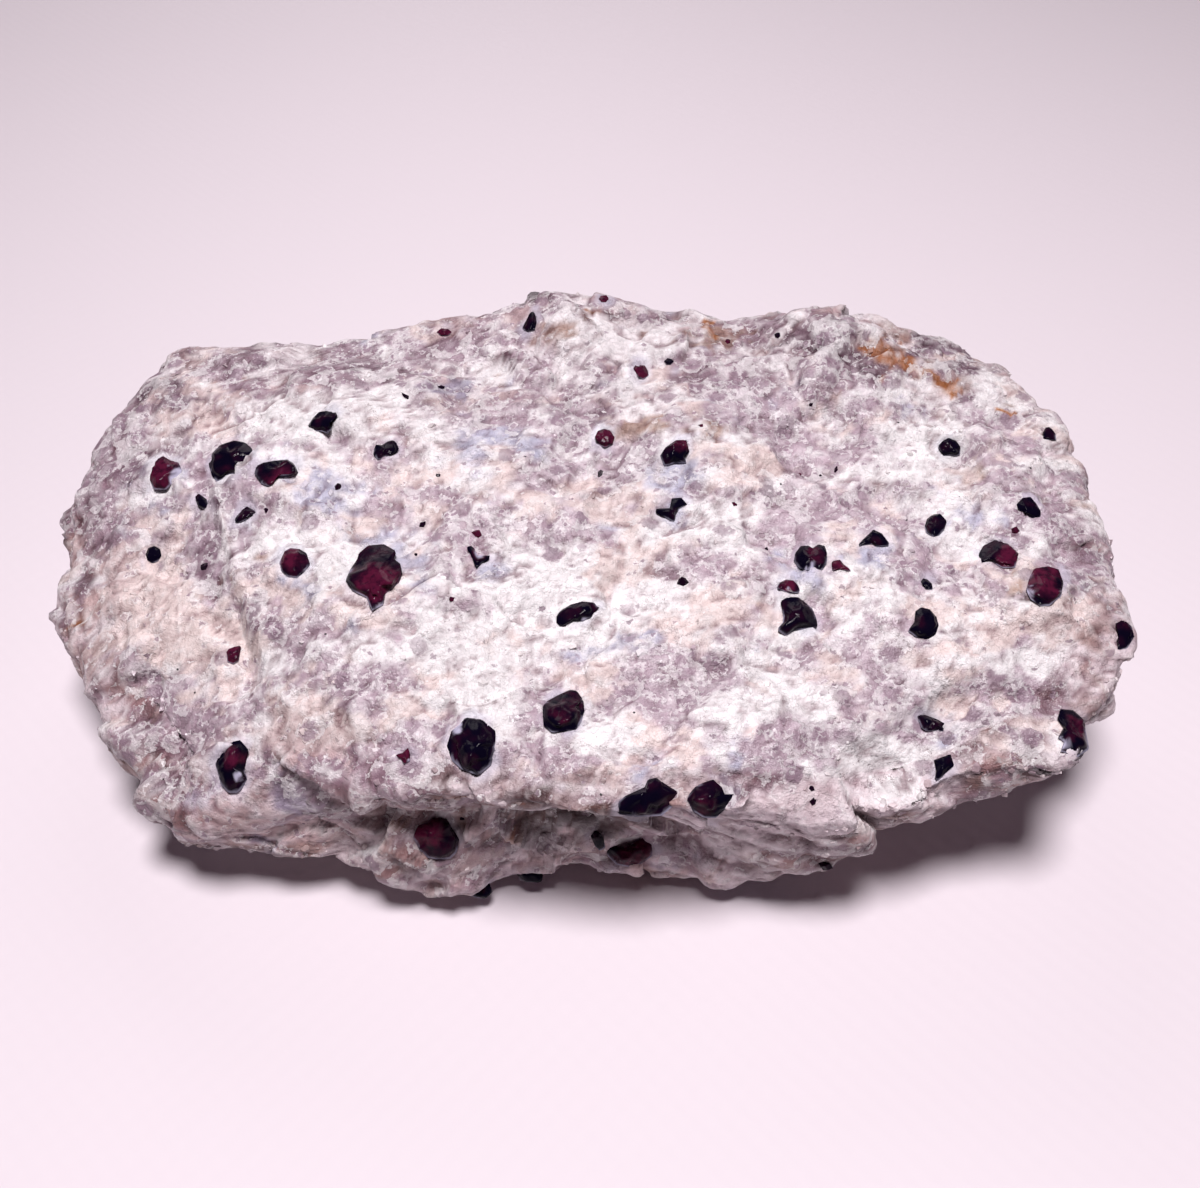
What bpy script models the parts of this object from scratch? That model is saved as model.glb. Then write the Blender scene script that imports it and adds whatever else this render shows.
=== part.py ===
"""Garnet in matrix: a hand specimen of pale quartz and feldspar rock with dark garnets grown in it.

The matrix is one broken piece of rock. Each garnet is a crystal of its own, in a socket of the matrix.
The origin is on the flat that the specimen rests on, +Z is up, +X is along its length, and the broad
show face looks up and towards -Y. The tables below are in millimetres, and MM turns them to metres.
"""

import math

import bmesh
import bpy
import numpy as np
from mathutils import Matrix, Vector
from mathutils.bvhtree import BVHTree

MM = 0.001

# The matrix seen from above: its rim's distance from the origin, one value every 15 degrees from +X round
# by +Y, and how high above the rest plane that widest line runs.
HALF_LENGTH = 51.0
HALF_DEPTH = 30.0
RIM_RADIUS = (47.2, 48.2, 47.5, 42.5, 36.5, 33.5, 33.5, 33.0, 36.0, 41.0, 53.5, 54.5,
              52.5, 47.5, 43.0, 32.5, 28.5, 25.5, 26.0, 26.6, 30.0, 34.5, 41.5, 46.8)
RIM_HEIGHT = (17.0, 18.0, 18.0, 18.0, 17.0, 17.0, 17.0, 17.0, 17.0, 17.0, 17.0, 17.0,
              13.0, 9.5, 7.5, 8.5, 15.0, 18.0, 18.0, 17.0, 13.5, 15.5, 16.5, 16.5)
# How high the underside hangs at the rim on the same bearings. Below zero, it stands on the rest plane.
UNDERSIDE = (9.0, 8.0, 5.0, 3.0, 2.0, 1.5, 1.5, 2.0, 3.0, 4.0, 5.0, 5.0,
             5.5, 6.0, 5.5, 4.5, -1.0, -1.5, -0.5, -1.5, 0.5, 7.5, 11.0, 11.0)
FOOT_SHARE = 0.50
STAND = -1.5

# The show face: a plane that tips towards -Y, the lower flank at the left end, and the roundness of the
# section's upper and lower corners, where a higher number is squarer.
FACE_HEIGHT = 23.0
FACE_SLOPE = 0.145
FLANK_POINT = (-34.0, 1.0, 23.4)
FLANK_SLOPE = (0.40, 0.30)
FLANK_BLEND = 1.6
CORNER_TOP = 8.0
CORNER_LOW = 5.0

# The sheet that covers the matrix is a square laid on a disc: the show face takes the disc out to the
# first share, the sides out to the second and the underside the rest.
FACE_SHARE = 0.63
SIDE_SHARE = 0.91
CELLS = (58, 35)

# Lumps (and dents, below zero) that stand up from the show face: x, y, radius along x, radius along y,
# height.
LUMPS = (
    (-3.0, 30.0, 8.0, 5.0, 1.6),
    (15.0, 28.0, 4.0, 6.0, -0.7),
    (27.0, 27.0, 7.0, 6.0, 1.6),
    (-33.0, 27.0, 11.0, 6.0, -2.6),
    (8.0, 12.0, 9.0, 7.0, 0.8),
    (-8.0, 8.0, 5.0, 4.0, 1.2),
    (26.0, 6.0, 10.0, 6.0, -0.9),
    (-20.0, -10.0, 6.0, 8.0, 0.9),
    (-2.0, -12.0, 9.0, 6.0, -0.8),
    (36.0, -8.0, 7.0, 5.0, 0.9),
    (16.0, -20.0, 8.0, 4.0, 0.9),
    (-36.0, -25.0, 9.0, 7.0, -4.5),
    (25.0, -25.0, 9.0, 7.0, -4.0),
    (43.0, -18.0, 9.0, 7.0, -3.0),
    (-47.0, 5.0, 5.0, 6.0, 0.8),
)
# Lumps and hollows of the sides: bearing in degrees, height, spread along the side, spread in height,
# and how far out they stand.
SIDE_LUMPS = (
    (256.0, 12.5, 13.0, 4.0, -2.6),
    (238.0, 3.0, 6.0, 3.0, 1.4),
    (283.0, 9.0, 11.0, 4.0, -2.4),
    (298.0, 4.0, 6.0, 3.0, 0.3),
    (267.0, 1.5, 4.0, 2.5, -2.6),
    (331.0, 9.0, 4.0, 2.0, 1.2),
    (208.0, 5.0, 4.0, 3.0, 1.2),
    (216.0, 3.5, 2.5, 3.0, -1.5),
    (222.0, 4.0, 3.0, 3.0, 1.2),
    (95.0, 10.0, 14.0, 6.0, 2.0),
    (55.0, 8.0, 9.0, 5.0, -1.8),
    (135.0, 9.0, 9.0, 6.0, -1.6),
)
# The step down from the show face to the left flank: two ends in plan, drop and softness across it.
STEP_ENDS = ((-38.0, 9.0), (-29.5, -13.0))
STEP_DROP = 1.8
STEP_SOFT = 0.7
# Ledges: the rock splits in beds this thick, which follow the show face and wander by this much.
BED = 2.6
BED_WANDER = 1.5
BED_WANDER_SIZE = 17.0
BED_SHARPNESS = 0.72
# Broken surface: size of the facets that the matrix breaks into, how much each is set off and its seed,
# how crisp the creases between them are, and how much more the sides are broken than the show face.
FACETS = ((9.0, 0.9, 11), (4.6, 0.55, 12))
FACET_SHARPNESS = 24.0
SIDE_ROUGHER = 0.6

# The eye for which the crystals' places are given, and the point that it looks at. "Across" and "up"
# are measured there, on a plane square to the line of sight.
EYE = (0.0, -81.8, 102.8)
LOOKS_AT = (0.0, 0.0, 15.0)
SOCKET_GAP = 0.3
# Crystals of the show face and the front: across, up, width, height, tilt in degrees, colour.
SEEN = (
    (-26.8, 16.7, 3.0, 2.1, 15, "black"),
    (-20.7, 14.0, 2.3, 1.7, 10, "black"),
    (-42.1, 11.7, 3.0, 3.1, 0, "red"),
    (-35.5, 13.0, 4.0, 3.7, 0, "black"),
    (-30.9, 11.6, 3.5, 2.5, 15, "black"),
    (-38.5, 9.0, 1.3, 1.6, -20, "black"),
    (-34.3, 7.7, 2.1, 1.6, 25, "black"),
    (-43.0, 3.8, 1.5, 1.8, 0, "black"),
    (-29.5, 3.1, 2.6, 2.7, 0, "red"),
    (-21.8, 1.7, 5.2, 6.1, -8, "red"),
    (-35.3, -5.8, 1.2, 1.6, 0, "red"),
    (-35.4, -16.7, 3.0, 5.0, -10, "black"),
    (-15.8, -23.4, 4.2, 3.9, 0, "red"),
    (-12.3, -14.6, 4.7, 5.4, 0, "black"),
    (-3.6, -11.2, 4.2, 4.0, 0, "black"),
    (-18.7, -15.9, 2.3, 2.2, 20, "red"),
    (-11.8, 3.7, 2.4, 2.4, 0, "black"),
    (-2.2, -1.9, 4.1, 2.4, 8, "black"),
    (4.5, -19.2, 5.3, 3.4, 22, "black"),
    (10.6, -19.8, 4.2, 3.6, -5, "black"),
    (3.1, -24.9, 4.0, 2.7, -5, "red"),
    (-0.5, -23.6, 1.2, 1.3, 0, "black"),
    (19.0, -2.1, 3.6, 3.7, 0, "black"),
    (18.0, 1.0, 1.9, 1.2, 0, "red"),
    (20.2, 3.6, 2.9, 2.5, 0, "black"),
    (23.3, 2.7, 1.5, 1.0, 0, "red"),
    (26.2, 5.4, 3.0, 1.7, -5, "black"),
    (7.2, 13.7, 2.9, 2.3, 10, "black"),
    (6.9, 8.2, 2.9, 2.3, 10, "black"),
    (3.9, 21.5, 1.5, 1.5, 0, "red"),
    (6.6, 22.4, 1.1, 0.9, 0, "black"),
    (0.4, 15.1, 1.8, 1.6, 0, "red"),
    (0.4, 27.8, 1.1, 1.0, 0, "red"),
    (-6.8, 25.9, 1.4, 1.7, 0, "black"),
    (-15.0, 24.7, 1.4, 1.0, 0, "red"),
    (33.6, 14.1, 2.0, 1.6, -15, "black"),
    (42.7, 15.2, 1.2, 1.6, 0, "black"),
    (32.2, 6.6, 2.0, 2.2, 0, "black"),
    (41.3, 8.3, 2.1, 2.0, 0, "black"),
    (38.4, 3.9, 3.5, 2.7, -12, "red"),
    (42.8, 0.8, 3.2, 3.6, 0, "red"),
    (31.1, -2.8, 2.9, 3.2, 0, "black"),
    (31.4, 1.0, 1.5, 1.3, 0, "black"),
    (49.9, -3.9, 1.9, 3.3, -10, "black"),
    (45.3, -13.3, 2.7, 4.4, 0, "black"),
    (32.0, -12.4, 2.8, 1.7, -10, "black"),
    (33.0, -16.4, 1.9, 2.5, 0, "black"),
)
# Crystals of the other sides: bearing in degrees, height above the rest plane, width, height, colour.
AROUND = (
    (304.0, 4.5, 2.8, 2.2, "black"),
    (297.0, 2.6, 2.4, 1.6, "black"),
    (245.0, 2.6, 2.2, 1.7, "black"),
    (254.0, 3.4, 2.4, 1.7, "black"),
    (72.0, 15.0, 3.6, 3.4, "black"),
    (98.0, 9.0, 4.2, 4.0, "red"),
    (118.0, 17.0, 2.6, 2.4, "black"),
    (138.0, 10.0, 3.2, 3.0, "black"),
    (44.0, 12.0, 3.0, 3.2, "red"),
    (22.0, 13.0, 3.4, 2.8, "black"),
    (166.0, 12.0, 2.6, 2.8, "black"),
    (184.0, 8.0, 2.4, 2.2, "red"),
)
# Garnet grows as twelve lozenge faces. Each is cut this far from the centre, give or take, and then the
# twenty-four lesser faces of the bigger crystals bevel the edges between them. A crystal's centre is
# sunk in the rock by a share of its half size.
LOZENGES = 12
LOZENGE_REACH = (0.86, 0.98)
BEVEL_REACH = (0.97, 1.04)
BEVELLED_FROM = 4.0
SUNK = 0.42
COLOURS = {"matrix": (0.80, 0.74, 0.76), "black": (0.020, 0.010, 0.018), "red": (0.11, 0.012, 0.025)}
ROUGHNESS = {"matrix": 0.75, "black": 0.15, "red": 0.2}


def clear_scene():
    for old in list(bpy.data.objects):
        bpy.data.objects.remove(old, do_unlink=True)


def material(name):
    """One Principled material for each entry of COLOURS."""
    made = bpy.data.materials.get(name) or bpy.data.materials.new(name)
    made.use_nodes = True
    shader = made.node_tree.nodes["Principled BSDF"]
    shader.inputs["Base Color"].default_value = (*COLOURS[name], 1.0)
    shader.inputs["Roughness"].default_value = ROUGHNESS[name]
    shader.inputs["Metallic"].default_value = 0.0
    return made


def smooth(value):
    """0 below 0, 1 above 1, and an S-shaped ramp between."""
    value = np.clip(value, 0.0, 1.0)
    return value * value * (3.0 - 2.0 * value)


def chance(cell, seed):
    """Three numbers from 0 to 1 for each whole-number cell (n x 3), always the same for the same cell."""
    with np.errstate(over="ignore"):
        key = cell.astype(np.int64).astype(np.uint32)
        mixed = key[:, 0] * np.uint32(374761393) + key[:, 1] * np.uint32(668265263)
        mixed = mixed + key[:, 2] * np.uint32(2246822519) + np.uint32(seed * 3266489917 % 2**32)
        found = []
        for _ in range(3):
            mixed = (mixed ^ (mixed >> np.uint32(15))) * np.uint32(2246822519)
            mixed = (mixed ^ (mixed >> np.uint32(13))) * np.uint32(3266489917)
            mixed = mixed ^ (mixed >> np.uint32(16))
            found.append(mixed.astype(np.float64) / 2**32)
    return np.stack(found, axis=1)


def wander(points, size, seed):
    """Smooth noise from -1 to 1: random values at the corners of cubes of this size, blended between."""
    place = points / size
    corner = np.floor(place)
    within = smooth(place - corner)
    total = np.zeros(len(points))
    for step in np.ndindex(2, 2, 2):
        weight = np.prod(np.where(np.array(step) == 1, within, 1.0 - within), axis=1)
        total += weight * chance(corner + step, seed)[:, 0]
    return 2.0 * total - 1.0


def facets(points, size, seed):
    """Broken facets, from -1 to 1: each point follows the tilted planes of the scattered centres round it,
    and the nearest one counts by far the most."""
    place = points / size
    corner = np.floor(place)
    total = np.zeros(len(points))
    height = np.zeros(len(points))
    for step in np.ndindex(3, 3, 3):
        cell = corner + step - 1.0
        away = place - cell - chance(cell, seed)
        weight = np.exp(-FACET_SHARPNESS * (away * away).sum(axis=1))
        lean = chance(cell, seed + 1) - 0.5
        height += weight * (1.4 * (chance(cell, seed + 2)[:, 0] - 0.5) + (2.0 * lean * away).sum(axis=1))
        total += weight
    return np.clip(height / total, -1.0, 1.0)


def around(values, bearing):
    """A smooth closed curve through equally spaced values, read at bearings in radians."""
    values = np.array(values)
    place = np.mod(bearing / math.tau, 1.0) * len(values)
    first = np.floor(place).astype(int)
    t = place - first
    a, b, c, d = (values[(first + step) % len(values)] for step in (-1, 0, 1, 2))
    return b + 0.5 * t * (c - a + t * (2 * a - 5 * b + 4 * c - d + t * (3 * b - 3 * c + d - a)))


def face_height(x, y):
    """Height of the show face over a place in plan: the softened lower of its plane and the flank's."""
    face = FACE_HEIGHT + FACE_SLOPE * y
    flank = FLANK_POINT[2] + FLANK_SLOPE[0] * (x - FLANK_POINT[0]) + FLANK_SLOPE[1] * (y - FLANK_POINT[1])
    height = -FLANK_BLEND * np.logaddexp(-face / FLANK_BLEND, -flank / FLANK_BLEND)
    for at_x, at_y, wide, deep, tall in LUMPS:
        height = height + tall * np.exp(-((x - at_x) / wide) ** 2 - ((y - at_y) / deep) ** 2)
    (from_x, from_y), (to_x, to_y) = STEP_ENDS
    length = math.hypot(to_x - from_x, to_y - from_y)
    along = ((x - from_x) * (to_x - from_x) + (y - from_y) * (to_y - from_y)) / length
    across = ((x - from_x) * (to_y - from_y) - (y - from_y) * (to_x - from_x)) / length
    near = np.exp(-((across / 9.0) ** 2)) * smooth(along / 6.0) * smooth((length + 4.0 - along) / 8.0)
    return height - STEP_DROP * near * smooth(0.5 + across / STEP_SOFT / 2.0)


def section(reach):
    """The path of a half section, as (out, up) from -1 to 1: over the face, down the side, under it."""
    out = np.where(reach < FACE_SHARE, reach / FACE_SHARE, 1.0)
    under = np.clip((reach - SIDE_SHARE) / (1.0 - SIDE_SHARE), 0.0, 1.0)
    out = out * (1.0 - (1.0 - FOOT_SHARE) * under)
    up = 1.0 - 2.0 * np.clip((reach - FACE_SHARE) / (SIDE_SHARE - FACE_SHARE), 0.0, 1.0)
    corner = np.where(up > 0.0, CORNER_TOP, CORNER_LOW)
    shrink = (out**corner + np.abs(up) ** corner) ** (-1.0 / corner)
    return out, out * shrink, up * shrink


def bedded(height):
    """Heights drawn towards steps one bed apart, which leaves ledges with short steep edges."""
    beds = height / BED
    lower = np.floor(beds)
    part = beds - lower
    step = smooth((part - 0.5) * (1.0 + 3.0 * BED_SHARPNESS) + 0.5)
    return BED * (lower + part * (1.0 - BED_SHARPNESS) + step * BED_SHARPNESS)


def matrix_points(cells_x, cells_y):
    """The sheet's points in millimetres, as a (cells_y + 1, cells_x + 1, 3) grid.

    A square is laid on a disc, whose radius runs along the half section and whose angle goes round the
    rim. The bedding lifts the show face in steps, and the lumps, hollows and facets push the points
    outwards.
    """
    a, b = np.meshgrid(np.linspace(-1.0, 1.0, cells_x + 1), np.linspace(-1.0, 1.0, cells_y + 1))
    a, b = a.ravel(), b.ravel()
    disc_x, disc_y = a * np.sqrt(1.0 - b * b / 2.0), b * np.sqrt(1.0 - a * a / 2.0)
    reach = np.minimum(np.hypot(disc_x, disc_y), 1.0)
    bearing = np.arctan2(disc_y * HALF_DEPTH, disc_x * HALF_LENGTH)
    flat_out, out, up = section(reach)
    rim = around(RIM_RADIUS, bearing)
    x, y = rim * out * np.cos(bearing), rim * out * np.sin(bearing)
    middle = around(RIM_HEIGHT, bearing)
    under_edge = smooth((flat_out - FOOT_SHARE) / (1.0 - FOOT_SHARE))
    under = STAND + (around(UNDERSIDE, bearing) - STAND) * under_edge
    plan = np.stack([x, y, np.zeros_like(x)], axis=1)
    top = face_height(x, y)
    drift = BED_WANDER * wander(plan, BED_WANDER_SIZE, 5)
    top = top + (bedded(drift) - drift) * smooth((1.0 - reach / FACE_SHARE) * 8.0) + 0.4 * drift
    z = np.where(up > 0.0, middle + (top - middle) * up, middle + (middle - under) * up)
    points = np.stack([x, y, z], axis=1)

    outward = np.stack([np.cos(bearing), np.sin(bearing), np.zeros_like(x)], axis=1)
    side = smooth((reach - 0.9 * FACE_SHARE) / (0.15 * FACE_SHARE))
    push = np.zeros_like(x)
    for degrees, height, spread, rise, stand in SIDE_LUMPS:
        away = np.mod(bearing - math.radians(degrees) + math.pi, math.tau) - math.pi
        push += stand * np.exp(-((away * rim / spread) ** 2) - ((z - height) / rise) ** 2)
    points += outward * (push * side)[:, None]
    lean = outward * side[:, None] + np.array([0.0, 0.0, 1.0]) * (1.0 - side)[:, None]
    for size, depth, seed in FACETS:
        points += lean * (depth * (1.0 + SIDE_ROUGHER * side) * facets(points, size, seed))[:, None]
    points[:, 2] = np.where(reach > 0.999, 0.0, np.maximum(points[:, 2], 0.0))
    return points.reshape(cells_y + 1, cells_x + 1, 3)


def grid_faces(rows, columns):
    """The four-sided faces of a grid of points, turned so that they look up where the grid is flat."""
    corner = np.arange(rows - 1)[:, None] * columns + np.arange(columns - 1)[None, :]
    faces = np.stack([corner, corner + 1, corner + columns + 1, corner + columns], axis=-1)
    return faces.reshape(-1, 4)


def edge_ring(rows, columns):
    """The grid's outer points in order, turned so that a face on them looks down."""
    first = np.arange(columns)
    right = np.arange(1, rows) * columns + columns - 1
    last = (rows - 1) * columns + np.arange(columns - 2, -1, -1)
    left = np.arange(rows - 2, 0, -1) * columns
    return np.concatenate([first, right, last, left])[::-1]


def add_object(name, points, faces, colour):
    mesh = bpy.data.meshes.new(name)
    mesh.from_pydata([tuple(point) for point in points], [], [tuple(face) for face in faces])
    mesh.update()
    made = bpy.data.objects.new(name, mesh)
    bpy.context.scene.collection.objects.link(made)
    mesh.materials.append(material(colour))
    return made


def make_matrix():
    """The rock: the sheet of points, closed by the flat that it rests on."""
    points = matrix_points(*CELLS) * MM
    rows, columns = points.shape[:2]
    faces = [[int(i) for i in face] for face in grid_faces(rows, columns)]
    faces.append([int(i) for i in edge_ring(rows, columns)])
    return add_object("matrix", points.reshape(-1, 3), faces, "matrix")


def crystal_planes(seed, bevelled):
    """(normal, distance) of each face of a crystal of unit radius."""
    rng = np.random.default_rng(seed)
    planes = []
    for i, j in ((0, 1), (0, 2), (1, 2)):
        for signs in ((1, 1), (1, -1), (-1, 1), (-1, -1)):
            normal = Vector((0.0, 0.0, 0.0))
            normal[i], normal[j] = signs
            planes.append((normal.normalized(), rng.uniform(*LOZENGE_REACH)))
    if bevelled:
        for long_axis in range(3):
            for signs in np.ndindex(2, 2, 2):
                normal = Vector([(2 if axis == long_axis else 1) * (1 - 2 * signs[axis]) for axis in range(3)])
                planes.append((normal.normalized(), rng.uniform(*BEVEL_REACH)))
    turn = Matrix.Rotation(rng.uniform(0.0, math.tau), 3, Vector(rng.normal(size=3)))
    return [(turn @ normal, distance) for normal, distance in planes]


def crystal_mesh(planes):
    """The solid inside all the planes, cut from a cube one face at a time."""
    solid = bmesh.new()
    bmesh.ops.create_cube(solid, size=3.0)
    for normal, distance in planes:
        everything = solid.verts[:] + solid.edges[:] + solid.faces[:]
        cut = bmesh.ops.bisect_plane(
            solid, geom=everything, dist=1e-6, plane_co=normal * distance, plane_no=normal, clear_outer=True
        )
        rim = [part for part in cut["geom_cut"] if isinstance(part, bmesh.types.BMEdge)]
        if rim:
            bmesh.ops.contextual_create(solid, geom=rim)
    bmesh.ops.remove_doubles(solid, verts=solid.verts[:], dist=0.01)
    bmesh.ops.recalc_face_normals(solid, faces=solid.faces[:])
    return solid


def sight_lines():
    """For each crystal: where the look starts, its direction, its width and height there, its tilt and
    its colour. The sizes of SEEN are scaled to the distance at which the look meets the rock."""
    eye = Vector(EYE)
    ahead = (Vector(LOOKS_AT) - eye).normalized()
    right = Vector((1.0, 0.0, 0.0))
    upward = right.cross(ahead)
    distance = (Vector(LOOKS_AT) - eye).length
    for across, up, wide, tall, tilt, colour in SEEN:
        direction = ahead * distance + right * across + upward * up
        yield eye, direction.normalized(), wide / distance, tall / distance, tilt, colour
    for degrees, height, wide, tall, colour in AROUND:
        bearing = math.radians(degrees)
        outside = Vector((math.cos(bearing), math.sin(bearing), 0.0)) * 2.0 * HALF_LENGTH
        yield outside + Vector((0.0, 0.0, height)), -outside.normalized(), wide, tall, 0.0, colour


def make_crystals(matrix):
    """The garnets where each look meets the rock, and one cutter that holds all their sockets."""
    graph = bpy.context.evaluated_depsgraph_get()
    surface = BVHTree.FromObject(matrix, graph)
    sockets = bmesh.new()
    for number, (start, direction, wide, tall, tilt, colour) in enumerate(sight_lines(), 1):
        place, normal, _, distance = surface.ray_cast(start * MM, direction)
        if place is None:
            raise ValueError(f"garnet {number} misses the rock")
        scale = distance / MM if number <= len(SEEN) else 1.0
        half = np.array([wide, min(wide, tall), tall]) * scale / 2.0
        planes = crystal_planes(number, min(wide, tall) * scale > BEVELLED_FROM)
        right = direction.cross(Vector((0.0, 0.0, 1.0))).normalized()
        axes = Matrix((right, direction, right.cross(direction))).transposed()
        turn = axes @ Matrix.Rotation(math.radians(-tilt), 3, "Y")
        sink = direction.lerp(-normal, 0.5).normalized() * (SUNK * half.min() * MM)
        for grown in (0.0, SOCKET_GAP):
            solid = crystal_mesh(planes[:LOZENGES] if grown else planes)
            size = Matrix.Diagonal([float(value + grown) * MM for value in half])
            moved = Matrix.Translation(place + sink) @ (turn @ size).to_4x4()
            bmesh.ops.transform(solid, matrix=moved, verts=solid.verts[:])
            mesh = bpy.data.meshes.new(f"garnet_{number:02d}")
            solid.to_mesh(mesh)
            solid.free()
            if grown:
                sockets.from_mesh(mesh)
                bpy.data.meshes.remove(mesh)
                continue
            crystal = bpy.data.objects.new(mesh.name, mesh)
            bpy.context.scene.collection.objects.link(crystal)
            mesh.materials.append(material(colour))
    return sockets


def cut_sockets(matrix, sockets):
    """The sockets are cut from the matrix by one Boolean, so each crystal sits in a close-fitting hole."""
    mesh = bpy.data.meshes.new("socket_cutter")
    sockets.to_mesh(mesh)
    sockets.free()
    cutter = bpy.data.objects.new("socket_cutter", mesh)
    bpy.context.scene.collection.objects.link(cutter)
    cutter.hide_render = True
    cutter.display_type = "WIRE"
    cut = matrix.modifiers.new("sockets", "BOOLEAN")
    cut.operation = "DIFFERENCE"
    cut.solver = "EXACT"
    cut.object = cutter


def main():
    clear_scene()
    matrix = make_matrix()
    cut_sockets(matrix, make_crystals(matrix))


main()
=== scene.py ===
"""The looks of a hand specimen: garnets in a matrix of pale quartz and feldspar rock.

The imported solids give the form. This file lays a fine skin over the matrix, grows every garnet again
with worn edges and ripples, adds the small garnets and the loose grains that the solids leave out, and
sets a pale stage with soft light. Places and sizes in the tables are millimetres, as are "across" and
"up", which are measured on a plane through the specimen, square to the line of sight.
"""

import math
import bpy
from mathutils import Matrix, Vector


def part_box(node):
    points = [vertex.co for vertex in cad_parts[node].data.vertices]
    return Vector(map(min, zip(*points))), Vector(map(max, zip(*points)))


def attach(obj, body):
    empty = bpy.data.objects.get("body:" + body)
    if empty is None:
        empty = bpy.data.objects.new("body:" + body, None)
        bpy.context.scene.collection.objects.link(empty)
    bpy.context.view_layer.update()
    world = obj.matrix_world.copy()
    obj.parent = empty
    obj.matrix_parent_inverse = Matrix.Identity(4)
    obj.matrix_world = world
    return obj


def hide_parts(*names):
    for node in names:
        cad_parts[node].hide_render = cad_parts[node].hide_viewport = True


bl_info = {
    "name": "Garnet in matrix",
    "version": (1, 0, 0),
    "blender": (4, 5, 0),
    "location": "3D View > Sidebar > Specimen",
    "description": "Dresses the solids of a garnet specimen with rock, crystals, grains and a stage",
    "category": "Object",
}

import bpy
import numpy as np
from mathutils import Vector
from mathutils.bvhtree import BVHTree

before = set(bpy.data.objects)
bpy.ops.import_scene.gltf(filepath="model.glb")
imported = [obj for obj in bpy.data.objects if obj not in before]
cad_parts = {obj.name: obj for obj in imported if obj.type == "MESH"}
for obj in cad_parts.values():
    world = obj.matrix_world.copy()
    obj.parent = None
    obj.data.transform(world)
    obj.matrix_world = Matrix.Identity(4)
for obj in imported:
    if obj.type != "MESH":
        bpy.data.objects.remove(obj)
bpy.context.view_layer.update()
MM = 0.001
BODY = "root"

# --- The matrix's form, as the solid has it -----------------------------------------------------------

HALF_LENGTH = 51.0
HALF_DEPTH = 30.0
RIM_RADIUS = (47.2, 48.2, 47.5, 42.5, 36.5, 33.5, 33.5, 33.0, 36.0, 41.0, 53.5, 54.5,
              52.5, 47.5, 43.0, 32.5, 28.5, 25.5, 26.0, 26.6, 30.0, 34.5, 41.5, 46.8)
RIM_HEIGHT = (17.0, 18.0, 18.0, 18.0, 17.0, 17.0, 17.0, 17.0, 17.0, 17.0, 17.0, 17.0,
              13.0, 9.5, 7.5, 8.5, 15.0, 18.0, 18.0, 17.0, 13.5, 15.5, 16.5, 16.5)
UNDERSIDE = (9.0, 8.0, 5.0, 3.0, 2.0, 1.5, 1.5, 2.0, 3.0, 4.0, 5.0, 5.0,
             5.5, 6.0, 5.5, 4.5, -1.0, -1.5, -0.5, -1.5, 0.5, 7.5, 11.0, 11.0)
FOOT_SHARE = 0.50
STAND = -1.5
FACE_HEIGHT = 23.0
FACE_SLOPE = 0.145
FLANK_POINT = (-34.0, 1.0, 23.4)
FLANK_SLOPE = (0.40, 0.30)
FLANK_BLEND = 1.6
CORNER_TOP = 8.0
CORNER_LOW = 5.0
FACE_SHARE = 0.63
SIDE_SHARE = 0.91
LUMPS = (
    (-3.0, 30.0, 8.0, 5.0, 1.6),
    (15.0, 28.0, 4.0, 6.0, -0.7),
    (27.0, 27.0, 7.0, 6.0, 1.6),
    (-33.0, 27.0, 11.0, 6.0, -2.6),
    (8.0, 12.0, 9.0, 7.0, 0.8),
    (-8.0, 8.0, 5.0, 4.0, 1.2),
    (26.0, 6.0, 10.0, 6.0, -0.9),
    (-20.0, -10.0, 6.0, 8.0, 0.9),
    (-2.0, -12.0, 9.0, 6.0, -0.8),
    (36.0, -8.0, 7.0, 5.0, 0.9),
    (16.0, -20.0, 8.0, 4.0, 0.9),
    (-36.0, -25.0, 9.0, 7.0, -4.5),
    (25.0, -25.0, 9.0, 7.0, -4.0),
    (43.0, -18.0, 9.0, 7.0, -3.0),
    (-47.0, 5.0, 5.0, 6.0, 0.8),
)
SIDE_LUMPS = (
    (256.0, 12.5, 13.0, 4.0, -2.6),
    (238.0, 3.0, 6.0, 3.0, 1.4),
    (283.0, 9.0, 11.0, 4.0, -2.4),
    (298.0, 4.0, 6.0, 3.0, 0.3),
    (267.0, 1.5, 4.0, 2.5, -2.6),
    (331.0, 9.0, 4.0, 2.0, 1.2),
    (208.0, 5.0, 4.0, 3.0, 1.2),
    (216.0, 3.5, 2.5, 3.0, -1.5),
    (222.0, 4.0, 3.0, 3.0, 1.2),
    (95.0, 10.0, 14.0, 6.0, 2.0),
    (55.0, 8.0, 9.0, 5.0, -1.8),
    (135.0, 9.0, 9.0, 6.0, -1.6),
)
STEP_ENDS = ((-38.0, 9.0), (-29.5, -13.0))
STEP_DROP = 1.8
STEP_SOFT = 0.7
BED = 2.6
BED_WANDER = 1.5
BED_WANDER_SIZE = 17.0
BED_SHARPNESS = 0.72
FACETS = ((9.0, 0.9, 11), (4.6, 0.55, 12))
FACET_SHARPNESS = 24.0
SIDE_ROUGHER = 0.6

# --- What the skin adds to it --------------------------------------------------------------------------

# Lines of the sheet along its length and depth, and the share of them that lie before each fold of the
# section: under, side, face, side, under. Most of them cross what shows.
SKIN_CELLS = (392, 252)
LENGTH_SHARES = (0.0, 0.03, 0.15, 0.85, 0.97, 1.0)
DEPTH_SHARES = (0.0, 0.04, 0.26, 0.84, 0.97, 1.0)
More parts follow.
